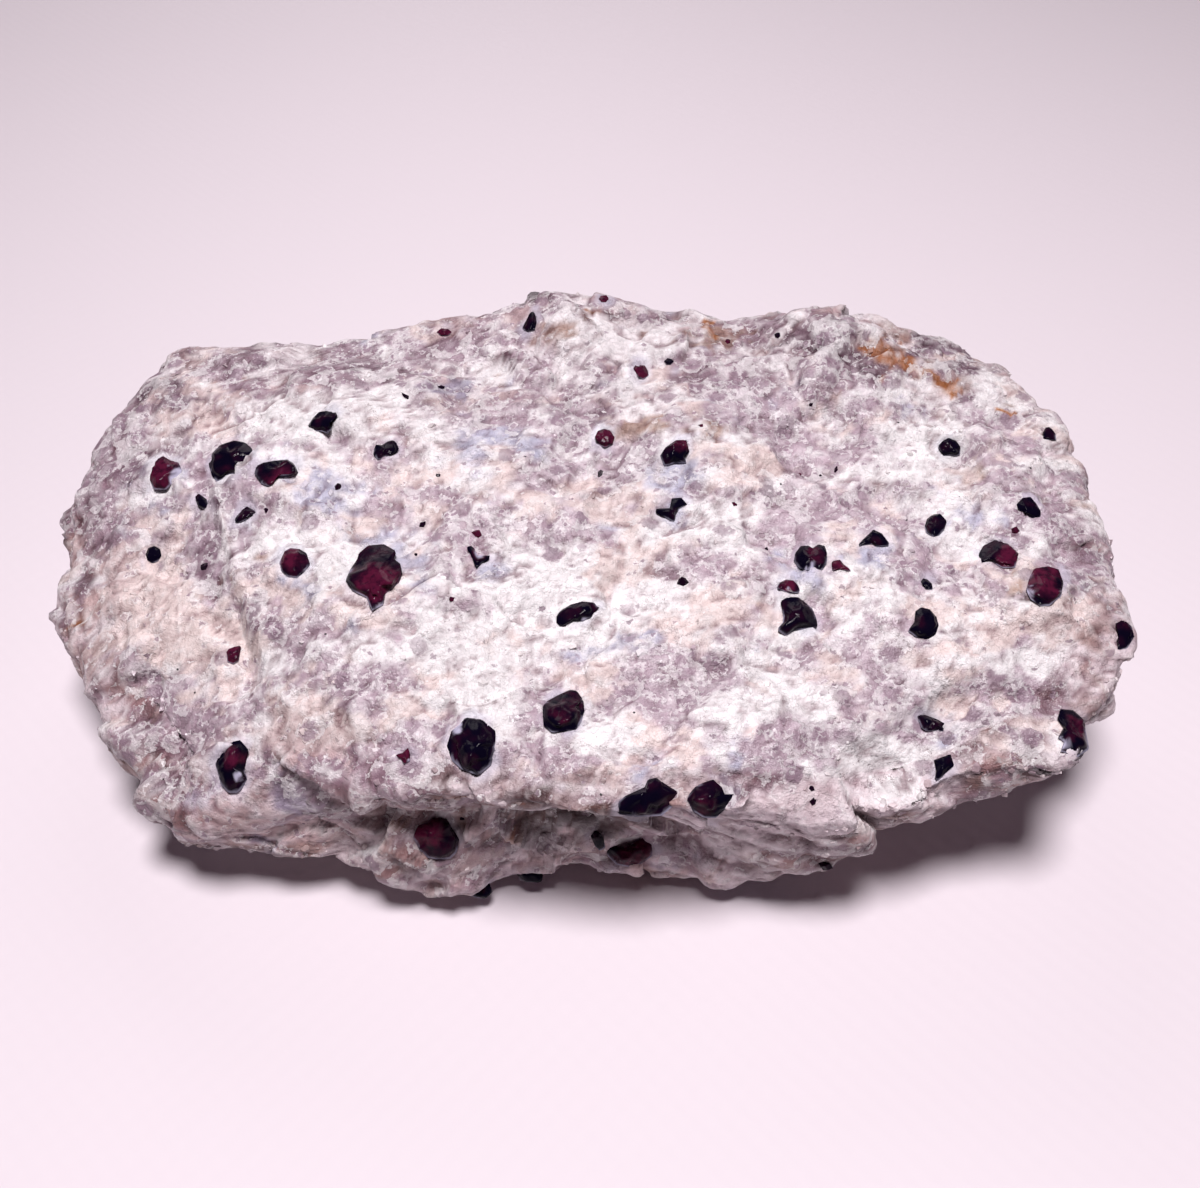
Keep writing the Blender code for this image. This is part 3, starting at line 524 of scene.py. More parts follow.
def facets(points, size, seed):
    """Broken facets, from -1 to 1: each point follows the tilted planes of the scattered centres round
    it, and the nearest one counts by far the most."""
    place = points / size
    corner = np.floor(place)
    total = np.zeros(len(points))
    height = np.zeros(len(points))
    for step in np.ndindex(3, 3, 3):
        cell = corner + step - 1.0
        away = place - cell - chance(cell, seed)
        weight = np.exp(-FACET_SHARPNESS * (away * away).sum(axis=1))
        lean = chance(cell, seed + 1) - 0.5
        height += weight * (1.4 * (chance(cell, seed + 2)[:, 0] - 0.5) + (2.0 * lean * away).sum(axis=1))
        total += weight
    return np.clip(height / total, -1.0, 1.0)


def grains(points, size, seed):
    """The grain that each point is in: three random numbers of its own, and how near its border is, from
    0 on the border to 1 well inside. A grain is all that lies nearest to its scattered centre."""
    place = points / size
    corner = np.floor(place)
    nearest = np.full(len(points), np.inf)
    second = nearest.copy()
    own = np.zeros((len(points), 3))
    for step in np.ndindex(3, 3, 3):
        cell = corner + step - 1.0
        away = np.linalg.norm(place - cell - chance(cell, seed), axis=1)
        closer = away < nearest
        second = np.where(closer, nearest, np.minimum(second, away))
        nearest = np.where(closer, away, nearest)
        own = np.where(closer[:, None], chance(cell, seed + 1), own)
    return own, np.clip(2.5 * (second - nearest), 0.0, 1.0)


def around(values, bearing):
    """A smooth closed curve through equally spaced values, read at bearings in radians."""
    values = np.array(values)
    place = np.mod(bearing / math.tau, 1.0) * len(values)
    first = np.floor(place).astype(int)
    t = place - first
    a, b, c, d = (values[(first + step) % len(values)] for step in (-1, 0, 1, 2))
    return b + 0.5 * t * (c - a + t * (2 * a - 5 * b + 4 * c - d + t * (3 * b - 3 * c + d - a)))


def face_height(x, y):
    """Height of the show face over a place in plan: the softened lower of its plane and the flank's."""
    face = FACE_HEIGHT + FACE_SLOPE * y
    flank = FLANK_POINT[2] + FLANK_SLOPE[0] * (x - FLANK_POINT[0]) + FLANK_SLOPE[1] * (y - FLANK_POINT[1])
    height = -FLANK_BLEND * np.logaddexp(-face / FLANK_BLEND, -flank / FLANK_BLEND)
    for at_x, at_y, wide, deep, tall in LUMPS:
        height = height + tall * np.exp(-((x - at_x) / wide) ** 2 - ((y - at_y) / deep) ** 2)
    (from_x, from_y), (to_x, to_y) = STEP_ENDS
    length = math.hypot(to_x - from_x, to_y - from_y)
    along = ((x - from_x) * (to_x - from_x) + (y - from_y) * (to_y - from_y)) / length
    across = ((x - from_x) * (to_y - from_y) - (y - from_y) * (to_x - from_x)) / length
    near = np.exp(-((across / 9.0) ** 2)) * smooth(along / 6.0) * smooth((length + 4.0 - along) / 8.0)
    return height - STEP_DROP * near * smooth(0.5 + across / STEP_SOFT / 2.0)


def section(reach):
    """The path of a half section, as (out, up) from -1 to 1: over the face, down the side, under it."""
    out = np.where(reach < FACE_SHARE, reach / FACE_SHARE, 1.0)
    under = np.clip((reach - SIDE_SHARE) / (1.0 - SIDE_SHARE), 0.0, 1.0)
    out = out * (1.0 - (1.0 - FOOT_SHARE) * under)
    up = 1.0 - 2.0 * np.clip((reach - FACE_SHARE) / (SIDE_SHARE - FACE_SHARE), 0.0, 1.0)
    corner = np.where(up > 0.0, CORNER_TOP, CORNER_LOW)
    shrink = (out**corner + np.abs(up) ** corner) ** (-1.0 / corner)
    return out, out * shrink, up * shrink


def bedded(height, bed):
    """Heights drawn towards steps one bed apart, which leaves ledges with short steep edges."""
    beds = height / bed
    lower = np.floor(beds)
    part = beds - lower
    step = smooth((part - 0.5) * (1.0 + 3.0 * BED_SHARPNESS) + 0.5)
    return bed * (lower + part * (1.0 - BED_SHARPNESS) + step * BED_SHARPNESS)


def sheet_lines(cells, shares):
    """Where the lines of the sheet run, from -1 to 1, given the share of them before each fold."""
    folds = (-1.0, -SIDE_SHARE, -FACE_SHARE, FACE_SHARE, SIDE_SHARE, 1.0)
    return np.interp(np.linspace(0.0, 1.0, cells + 1), shares, folds)


def matrix_form():
    """The matrix as a sheet of points, rows x columns x 3, and how far each is round the side, 0 to 1.

    A square is laid on a disc, whose radius runs along the half section and whose angle goes round the
    rim. The bedding lifts the show face in steps, and the lumps, hollows and facets push the points
    outwards. It is the solid's own formula on closer lines.
    """
    lines_x = sheet_lines(SKIN_CELLS[0], LENGTH_SHARES)
    lines_y = sheet_lines(SKIN_CELLS[1], DEPTH_SHARES)
    a, b = np.meshgrid(lines_x, lines_y)
    a, b = a.ravel(), b.ravel()
    disc_x, disc_y = a * np.sqrt(1.0 - b * b / 2.0), b * np.sqrt(1.0 - a * a / 2.0)
    reach = np.minimum(np.hypot(disc_x, disc_y), 1.0)
    bearing = np.arctan2(disc_y * HALF_DEPTH, disc_x * HALF_LENGTH)
    flat_out, out, up = section(reach)
    rim = around(RIM_RADIUS, bearing)
    x, y = rim * out * np.cos(bearing), rim * out * np.sin(bearing)
    middle = around(RIM_HEIGHT, bearing)
    under_edge = smooth((flat_out - FOOT_SHARE) / (1.0 - FOOT_SHARE))
    under = STAND + (around(UNDERSIDE, bearing) - STAND) * under_edge
    plan = np.stack([x, y, np.zeros_like(x)], axis=1)
    top = face_height(x, y)
    drift = BED_WANDER * wander(plan, BED_WANDER_SIZE, 5)
    top = top + (bedded(drift, BED) - drift) * smooth((1.0 - reach / FACE_SHARE) * 8.0) + 0.4 * drift
    z = np.where(up > 0.0, middle + (top - middle) * up, middle + (middle - under) * up)
    points = np.stack([x, y, z], axis=1)

    outward = np.stack([np.cos(bearing), np.sin(bearing), np.zeros_like(x)], axis=1)
    side = smooth((reach - 0.9 * FACE_SHARE) / (0.15 * FACE_SHARE))
    push = np.zeros_like(x)
    for degrees, height, spread, rise, stand in SIDE_LUMPS:
        away = np.mod(bearing - math.radians(degrees) + math.pi, math.tau) - math.pi
        push += stand * np.exp(-((away * rim / spread) ** 2) - ((z - height) / rise) ** 2)
    points += outward * (push * side)[:, None]
    lean = outward * side[:, None] + np.array([0.0, 0.0, 1.0]) * (1.0 - side)[:, None]
    for size, depth, seed in FACETS:
        points += lean * (depth * (1.0 + SIDE_ROUGHER * side) * facets(points, size, seed))[:, None]
    points[:, 2] = np.where(reach > 0.999, 0.0, np.maximum(points[:, 2], 0.0))
    return points.reshape(len(lines_y), len(lines_x), 3), side


def grid_normals(grid):
    """Unit normals of a grid of points, from the cross product of its two directions."""
    normals = np.cross(np.gradient(grid, axis=1), np.gradient(grid, axis=0))
    normals = normals.reshape(-1, 3)
    return normals / np.maximum(np.linalg.norm(normals, axis=1, keepdims=True), 1e-12)


def sight_axes():
    """The eye's directions ahead, right and up, and its distance to the point that it looks at."""
    ahead = np.array(LOOKS_AT) - np.array(EYE)
    distance = np.linalg.norm(ahead)
    ahead = ahead / distance
    right = np.array([1.0, 0.0, 0.0])
    return ahead, right, np.cross(right, ahead), distance


def seen(points, normals):
    """Across and up of each point as the eye has it, and 1 where it faces the eye, falling to 0."""
    ahead, right, upward, distance = sight_axes()
    sight = points - np.array(EYE)
    deep = sight @ ahead
    facing = -(sight * normals).sum(axis=1) / np.linalg.norm(sight, axis=1)
    return sight @ right / deep * distance, sight @ upward / deep * distance, smooth(0.5 + 4.0 * facing)


# --- Meshes and materials ------------------------------------------------------------------------------


def node(tree, kind, inputs=None, **settings):
    """Adds a node, sets its properties, and fills its sockets with values or links to other outputs."""
    made = tree.nodes.new(kind)
    for name, value in settings.items():
        setattr(made, name, value)
    for name, value in (inputs or {}).items():
        if isinstance(value, bpy.types.NodeSocket):
            tree.links.new(value, made.inputs[name])
        else:
            made.inputs[name].default_value = value
    return made


def per_metre(size):
    """A pattern's scale from the real size of its cells in millimetres."""
    return 1.0 / (size * MM)


def new_material(name):
    """An empty node material with a Principled shader, and its tree and shader."""
    made = bpy.data.materials.new(name)
    made.use_nodes = True
    return made, made.node_tree, made.node_tree.nodes["Principled BSDF"]


def new_piece(name, points, faces, material, attributes=None):
    """A mesh object at the origin from points in millimetres, riding on the specimen's one body."""
    mesh = bpy.data.meshes.new(name)
    mesh.from_pydata((points * MM).tolist(), [], faces)
    mesh.update()
    for label, values in (attributes or {}).items():
        if values.ndim == 2:
            colours = np.concatenate([values, np.ones((len(values), 1))], axis=1)
            mesh.attributes.new(label, "FLOAT_COLOR", "POINT").data.foreach_set("color", colours.ravel())
        else:
            mesh.attributes.new(label, "FLOAT", "POINT").data.foreach_set("value", values)
    mesh.materials.append(material)
    mesh.shade_smooth()
    made = bpy.data.objects.new(name, mesh)
    bpy.context.scene.collection.objects.link(made)
    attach(made, BODY)
    return made


def replace_piece(name):
    """Removes an earlier piece of this name, so that its operator can be run again."""
    old = bpy.data.objects.get(name)
    if old is not None:
        bpy.data.objects.remove(old, do_unlink=True)


def grid_faces(rows, columns):
    """The four-sided faces of a grid of points, turned so that they look up where the grid is flat."""
    corner = np.arange(rows - 1)[:, None] * columns + np.arange(columns - 1)[None, :]
    faces = np.stack([corner, corner + 1, corner + columns + 1, corner + columns], axis=-1)
    return faces.reshape(-1, 4).tolist()


def edge_ring(rows, columns):
    """The grid's outer points in order, turned so that a face on them looks down."""
    first = np.arange(columns)
    right = np.arange(1, rows) * columns + columns - 1
    last = (rows - 1) * columns + np.arange(columns - 2, -1, -1)
    left = np.arange(rows - 2, 0, -1) * columns
    return np.concatenate([first, right, last, left])[::-1].tolist()


def rock_material(rock):
    """Broken quartz and feldspar: the ground's own tint, small cleavages at their own tilts, and specks.

    To the eye it is a matt pale stone with soft light in it, that glistens where a flake of clear quartz
    or a cleavage faces the light, with a few black specks and fine dark cracks.
    """
    made, tree, shader = new_material("quartz_feldspar_rock")
    place = node(tree, "ShaderNodeTexCoord").outputs["Object"]
    tint = node(tree, "ShaderNodeAttribute", attribute_name="tint").outputs["Color"]
    clear = node(tree, "ShaderNodeAttribute", attribute_name="clear").outputs["Fac"]
    bend = node(tree, "ShaderNodeTexNoise", {"Vector": place, "Scale": per_metre(0.9), "Detail": 3.0,
                                             "Roughness": 0.7})
    bend = node(tree, "ShaderNodeVectorMath", {0: bend.outputs["Color"], 1: (-0.5, -0.5, -0.5)},
                operation="ADD")
    bend = node(tree, "ShaderNodeVectorMath", {0: bend.outputs[0], "Scale": 1.2 * MM}, operation="SCALE")
    bent = node(tree, "ShaderNodeVectorMath", {0: place, 1: bend.outputs[0]}, operation="ADD").outputs[0]
    bent = node(tree, "ShaderNodeVectorMath", {0: bent, 1: (rock.stretch, 1.0, 1.0)},
                operation="MULTIPLY").outputs[0]

    # Two sizes of broken grain. Some of them are grey clear quartz, the more the clearer the ground is,
    # with a whitish rim, and each is a little lighter or darker. The face of each is a plane through its
    # centre: its lean times the way from it.
    colour = tint
    height = None
    for size, share in ((rock.grain_size, 0.46), (rock.sugar_size, 0.34)):
        cell = node(tree, "ShaderNodeTexVoronoi", {"Vector": bent, "Scale": 1.0 / size})
        own = node(tree, "ShaderNodeSeparateColor", {"Color": cell.outputs["Color"]})
        luck = node(tree, "ShaderNodeMath", {0: own.outputs[0], 1: 1.0 / share}, operation="MULTIPLY")
        picked = node(tree, "ShaderNodeMath", {0: luck.outputs[0], 1: clear}, operation="LESS_THAN")
        inner = node(tree, "ShaderNodeMapRange", {"Value": cell.outputs["Distance"], "From Min": 0.36,
                                                  "From Max": 0.50, "To Min": 1.0, "To Max": 0.0})
        border = node(tree, "ShaderNodeMapRange", {"Value": cell.outputs["Distance"], "From Min": 0.40,
                                                   "From Max": 0.56, "To Min": 0.0, "To Max": rock.rim})
        border = node(tree, "ShaderNodeMath", {0: border.outputs[0], 1: picked.outputs[0]},
                      operation="MULTIPLY")
        depth = node(tree, "ShaderNodeMapRange", {"Value": own.outputs[1], "To Min": 0.3, "To Max": 0.85})
        amount = node(tree, "ShaderNodeMath", {0: inner.outputs[0], 1: depth.outputs[0]},
                      operation="MULTIPLY")
        amount = node(tree, "ShaderNodeMath", {0: amount.outputs[0], 1: picked.outputs[0]},
                      operation="MULTIPLY")
        colour = node(tree, "ShaderNodeMix", {0: amount.outputs[0], 6: colour, 7: (*rock.grain, 1.0)},
                      data_type="RGBA").outputs[2]
        colour = node(tree, "ShaderNodeMix", {0: border.outputs[0], 6: colour, 7: (*rock.white, 1.0)},
                      data_type="RGBA").outputs[2]
        light = node(tree, "ShaderNodeMapRange", {"Value": own.outputs[2], "To Min": 0.94,
                                                  "To Max": 1.06})
        colour = node(tree, "ShaderNodeVectorMath", {0: colour, "Scale": light.outputs[0]},
                      operation="SCALE").outputs[0]
        lean = node(tree, "ShaderNodeVectorMath", {0: cell.outputs["Color"], 1: (-0.5, -0.5, -0.5)},
                    operation="ADD")
        away = node(tree, "ShaderNodeVectorMath", {0: bent, 1: cell.outputs["Position"]},
                    operation="SUBTRACT")
        plane = node(tree, "ShaderNodeVectorMath", {0: lean.outputs[0], 1: away.outputs[0]},
                     operation="DOT_PRODUCT")
        plane = node(tree, "ShaderNodeMath", {0: plane.outputs["Value"], 1: rock.tilt},
                     operation="MULTIPLY")
        height = plane.outputs[0] if height is None else node(
            tree, "ShaderNodeMath", {0: height, 1: plane.outputs[0]}, operation="ADD").outputs[0]

    # Clouds in the mineral, and thin dark cracks where a second noise passes its middle value.
    mottle = node(tree, "ShaderNodeTexNoise", {"Vector": bent, "Scale": per_metre(0.6), "Detail": 3.0,
                                               "Roughness": 0.75})
    cloud = node(tree, "ShaderNodeMapRange", {"Value": mottle.outputs["Fac"], "From Min": 0.3,
                                              "From Max": 0.7, "To Min": 1.0 - rock.cloud,
                                              "To Max": 1.0 + rock.cloud})
    colour = node(tree, "ShaderNodeVectorMath", {0: colour, "Scale": cloud.outputs[0]},
                  operation="SCALE").outputs[0]
    crack = node(tree, "ShaderNodeTexNoise", {"Vector": bent, "Scale": per_metre(3.2), "Detail": 4.0,
                                              "Roughness": 0.65})
    crack = node(tree, "ShaderNodeMath", {0: crack.outputs["Fac"], 1: 0.5, 2: 0.006}, operation="COMPARE")
    where = node(tree, "ShaderNodeTexNoise", {"Vector": place, "Scale": per_metre(2.6), "Detail": 1.0})
    where = node(tree, "ShaderNodeMapRange", {"Value": where.outputs["Fac"], "From Min": 0.54,
                                              "From Max": 0.66, "To Min": 0.0, "To Max": 0.55})
    crack = node(tree, "ShaderNodeMath", {0: crack.outputs[0], 1: where.outputs[0]}, operation="MULTIPLY")
    colour = node(tree, "ShaderNodeMix", {0: crack.outputs[0], 6: colour, 7: (*rock.crack, 1.0)},
                  data_type="RGBA").outputs[2]

    # Specks of black mineral about a fifth of a millimetre across.
    speck = node(tree, "ShaderNodeTexVoronoi", {"Vector": place, "Scale": per_metre(2.4)})
    dice = node(tree, "ShaderNodeSeparateColor", {"Color": speck.outputs["Color"]})
    near = node(tree, "ShaderNodeMath", {0: speck.outputs["Distance"], 1: 0.045}, operation="LESS_THAN")
    rare = node(tree, "ShaderNodeMath", {0: dice.outputs[0], 1: 0.25}, operation="LESS_THAN")
    speck = node(tree, "ShaderNodeMath", {0: near.outputs[0], 1: rare.outputs[0]}, operation="MULTIPLY")
    specked = node(tree, "ShaderNodeMix", {0: speck.outputs[0], 6: colour, 7: (*rock.speck, 1.0)},
                   data_type="RGBA")
    tree.links.new(specked.outputs[2], shader.inputs["Base Color"])

    rough = node(tree, "ShaderNodeMapRange", {"Value": clear, "To Min": 0.60, "To Max": 0.34})
    tree.links.new(rough.outputs[0], shader.inputs["Roughness"])
    shader.inputs["IOR"].default_value = QUARTZ_IOR
    shader.inputs["Subsurface Weight"].default_value = 0.15
    shader.inputs["Subsurface Radius"].default_value = (1.0, 0.9, 0.85)
    shader.inputs["Subsurface Scale"].default_value = 0.6 * MM

    fuzz = node(tree, "ShaderNodeMath", {0: mottle.outputs["Fac"], 1: rock.fuzz, 2: height},
                operation="MULTIPLY_ADD")
    bump = node(tree, "ShaderNodeBump", {"Strength": 1.0, "Distance": 1.0, "Height": fuzz.outputs[0]})
    tree.links.new(bump.outputs[0], shader.inputs["Normal"])
    return made


def garnet_material(name, garnet):
    """Almandine garnet, grown in the rock and weathered out of it.

    To the eye it is black glass, wine red where the light gets through, with fine pits that break its
    gloss. Pale rock dust clings to it here and there. Its gloss is held low, because a pale room all
    round would turn the black grey.
    """
    made, tree, shader = new_material(name)
    place = node(tree, "ShaderNodeTexCoord").outputs["Object"]
    ember = node(tree, "ShaderNodeAttribute", attribute_name="ember").outputs["Fac"]
    dust = node(tree, "ShaderNodeAttribute", attribute_name="dust").outputs["Fac"]
    vein = node(tree, "ShaderNodeTexNoise", {"Vector": place, "Scale": per_metre(0.7), "Detail": 4.0,
                                             "Roughness": 0.6})
    vein = node(tree, "ShaderNodeMapRange", {"Value": vein.outputs["Fac"], "From Min": 0.35,
                                             "From Max": 0.65, "To Min": 0.35, "To Max": 1.5})
    glow = node(tree, "ShaderNodeMath", {0: ember, 1: vein.outputs[0]}, operation="MULTIPLY",
                use_clamp=True)
    body = node(tree, "ShaderNodeMix", {0: glow.outputs[0], 6: (*garnet.black, 1.0),
                                        7: (*garnet.red, 1.0)}, data_type="RGBA")
    dusty = node(tree, "ShaderNodeMix", {0: dust, 6: body.outputs[2], 7: (*garnet.dust, 1.0)},
                 data_type="RGBA")
    tree.links.new(dusty.outputs[2], shader.inputs["Base Color"])
    wear = node(tree, "ShaderNodeTexNoise", {"Vector": place, "Scale": per_metre(0.8), "Detail": 4.0})
    rough = node(tree, "ShaderNodeMapRange", {"Value": wear.outputs["Fac"], "From Min": 0.35,
                                              "From Max": 0.65, "To Min": 0.06, "To Max": 0.22})
    rough = node(tree, "ShaderNodeMix", {0: dust, 2: rough.outputs[0], 3: 0.7})
    tree.links.new(rough.outputs[0], shader.inputs["Roughness"])
    shader.inputs["IOR"].default_value = GARNET_IOR
    shader.inputs["Specular IOR Level"].default_value = 0.03
    pits = node(tree, "ShaderNodeTexNoise", {"Vector": place, "Scale": per_metre(0.55), "Detail": 4.0,
                                             "Roughness": 0.6})
    pits = node(tree, "ShaderNodeMath", {0: pits.outputs["Fac"], 1: garnet.pitting}, operation="MULTIPLY")
    bump = node(tree, "ShaderNodeBump", {"Strength": 1.0, "Distance": 1.0, "Height": pits.outputs[0]})
    tree.links.new(bump.outputs[0], shader.inputs["Normal"])
    return made


def grain_material(name, roughness, bend):
    """A loose grain of one mineral: its own shade of the rock, a little light in it and broken faces."""
    made, tree, shader = new_material(name)
    place = node(tree, "ShaderNodeTexCoord").outputs["Object"]
    tint = node(tree, "ShaderNodeAttribute", attribute_name="tint").outputs["Color"]
    cloud = node(tree, "ShaderNodeTexNoise", {"Vector": place, "Scale": per_metre(0.5), "Detail": 4.0})
    light = node(tree, "ShaderNodeMapRange", {"Value": cloud.outputs["Fac"], "From Min": 0.3,
                                              "From Max": 0.7, "To Min": 0.86, "To Max": 1.10})
    base = node(tree, "ShaderNodeVectorMath", {0: tint, "Scale": light.outputs[0]}, operation="SCALE")
    tree.links.new(base.outputs[0], shader.inputs["Base Color"])
    shader.inputs["Roughness"].default_value = roughness
    shader.inputs["IOR"].default_value = bend
    shader.inputs["Subsurface Weight"].default_value = 0.15
    shader.inputs["Subsurface Radius"].default_value = (1.0, 0.9, 0.85)
    shader.inputs["Subsurface Scale"].default_value = 0.5 * MM
    height = node(tree, "ShaderNodeMath", {0: cloud.outputs["Fac"], 1: 0.12 * MM}, operation="MULTIPLY")
    bump = node(tree, "ShaderNodeBump", {"Strength": 1.0, "Distance": 1.0, "Height": height.outputs[0]})
    tree.links.new(bump.outputs[0], shader.inputs["Normal"])
    return made


# --- The rock ------------------------------------------------------------------------------------------


def crystals():
    """Name, middle and half sizes in millimetres of every packed garnet."""
    found = []
    for name in sorted(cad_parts):
        if name.startswith("garnet_"):
            low, high = (np.array(corner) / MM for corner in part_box(name))
            found.append((name, (low + high) / 2.0, (high - low) / 2.0))
    return found


def outline_reach(outline, bearings):
    """How far an outline reaches from its middle at each bearing: the farthest of its edges met there."""
    ends = np.array(outline)
    starts = np.roll(ends, 1, axis=0)
    run = ends - starts
    way = np.stack([np.cos(bearings), np.sin(bearings)], axis=-1)[:, None, :]
    slant = way[..., 0] * run[:, 1] - way[..., 1] * run[:, 0]
    slant = np.where(np.abs(slant) < 1e-9, 1e-9, slant)
    reach = (starts[:, 0] * run[:, 1] - starts[:, 1] * run[:, 0]) / slant
    part = (starts[:, 0] * way[..., 1] - starts[:, 1] * way[..., 0]) / slant
    met = (part >= -1e-6) & (part <= 1.0 + 1e-6) & (reach > 0.0)
    return np.where(met, reach, 0.0).max(axis=1)


def garnet_gap(points, normals):
    """How far each point is outside the nearest garnet, in millimetres. Inside it, it is below 0.

    On the show side a garnet is its outline from the eye, and elsewhere a ball of its mean half size.
    """
    across, up, facing = seen(points, normals)
    gap = np.full(len(points), FAR)
    for middle_x, middle_y, outline in SHOWN_GARNETS.values():
        off_x, off_y = across - middle_x, up - middle_y
        away = np.hypot(off_x, off_y)
        near = np.flatnonzero((away < OUTLINE_LIMIT) & (facing > 0.3))
        reach = outline_reach(outline, np.arctan2(off_y[near], off_x[near]))
        gap[near] = np.minimum(gap[near], away[near] - reach)
    for name, middle, half in crystals():
        if int(name[-2:]) not in SHOWN_GARNETS:
            gap = np.minimum(gap, np.linalg.norm(points - middle, axis=1) - half.mean())
    return gap


def skin_relief(points, normals, side, gap, rock):
    """How far the skin stands off the solid's form, in millimetres.

    It is the sum of broken facets, thin shells with torn edges, rounded grains with crevices between
    them, layers on the sides, fine noise and the named swells. Near a garnet it is calm, it rises in a
    low uneven collar round the crystal, and it sinks under it.
    """
    stretched = points * np.array([rock.stretch, 1.0, 1.0])
    shift = np.stack([broken(points, 4.0, 2, 41 + 10 * k) for k in range(3)], axis=1)
    bent = stretched + 0.6 * shift
    sugary = smooth(0.5 + 1.3 * wander(points, 9.0, 31))
    height = facets(bent, 5.5, 21) + 0.50 * facets(bent, 2.6, 22) + 0.30 * facets(points, 1.3, 23)
    height *= rock.facet_depth / MM
    shells = bedded(0.9 * broken(bent, 8.0, 4, 32), 0.7) + 0.4 * bedded(broken(bent, 3.0, 3, 92), 0.6)
    height += rock.shell_depth / MM * shells
    own, inside = grains(bent, rock.pebble_size / MM, 34)
    height += rock.pebble_depth / MM * (np.sqrt(inside) - 0.7 + 0.8 * (own[:, 0] - 0.5)) * sugary
    height += rock.fine_depth / MM * broken(points, 0.9, 2, 39)
    layer = points[:, 2] + 0.10 * points[:, 0] + 1.0 * wander(points, 8.0, 36)
    layered = np.stack([points[:, 0] * 0.16, points[:, 1] * 0.16, layer], axis=1)
    strata = 0.16 * facets(layered, 1.9, 37) + 0.05 * broken(layered, 1.4, 2, 38)
    height += strata * side * rock.layering
    height *= 0.25 + 0.75 * smooth(gap / 1.1)
    collar = np.exp(-(((gap - 0.25) / 0.35) ** 2)) * (0.5 + 0.9 * wander(points, 1.4, 35))
    height += 0.14 * collar - 0.5 * smooth(-gap / 0.7)
    across, up, facing = seen(points, normals)
    for at_x, at_y, wide, tall, stand in SWELLS:
        height += facing * stand * np.exp(-((across - at_x) / wide) ** 2 - ((up - at_y) / tall) ** 2)
    return height


def mineral_shares(points, normals, seed):
    """How much of each mineral is in the ground at each point, adding up to 1.

    Every mineral has its own fractal luck, drawn out along the rock, the small grains and the named
    patches add to it, and the highest total takes most of the place: each share is the exponential of
    the luck over the blend, divided by the sum of them all.
    """
    shift = np.stack([broken(points, 3.0, 3, seed + 10 * k) for k in range(2)])
    across, up, facing = seen(points, normals)
    across = across + 1.5 * shift[0]
    up = up + 1.1 * shift[1]
    facing = np.minimum(2.5 * facing, 1.0)
    near_round = points * np.array([0.95, 1.0, 1.0])
    small, _ = grains(near_round + 0.5 * shift[[0, 1, 0]].T, 1.9, seed + 30)
    scores = []
    for mineral, (base, stray, noise, (share, number), pull, _) in MINERALS.items():
        stretch, size, step, keep = noise
        luck = base + stray * broken(points * np.array([stretch, 1.0, 1.0]), size, 4, seed + step, keep)
        luck = luck + share * small[:, number]
        for at_x, at_y, wide, tall in PATCHES[mineral]:
            nearness = np.exp(-((across - at_x) / wide) ** 2 - ((up - at_y) / tall) ** 2)
            luck = luck + pull * facing * nearness
        scores.append(luck)
    scores = np.exp(np.stack(scores, axis=1) / MINERAL_BLEND)
    return scores / scores.sum(axis=1, keepdims=True)


def sharper(grid, reach):
    """How far each point of a grid of heights stands above the mean of those within `reach` lines."""
    mean = grid
    for axis in (0, 1):
        mean = sum(np.roll(mean, step, axis) for step in range(-reach, reach + 1)) / (2 * reach + 1)
    return (grid - mean).ravel()


def multiplied(tint, colour, amount):
    """The tint multiplied by a colour, as far as the amount at each point says."""
    return tint * (1.0 + (np.array(tuple(colour)) - 1.0) * amount[:, None])


def covered(tint, colour, amount):
    """The tint moved towards a colour, as far as the amount at each point says."""
    return tint + (np.array(tuple(colour)) - tint) * amount[:, None]


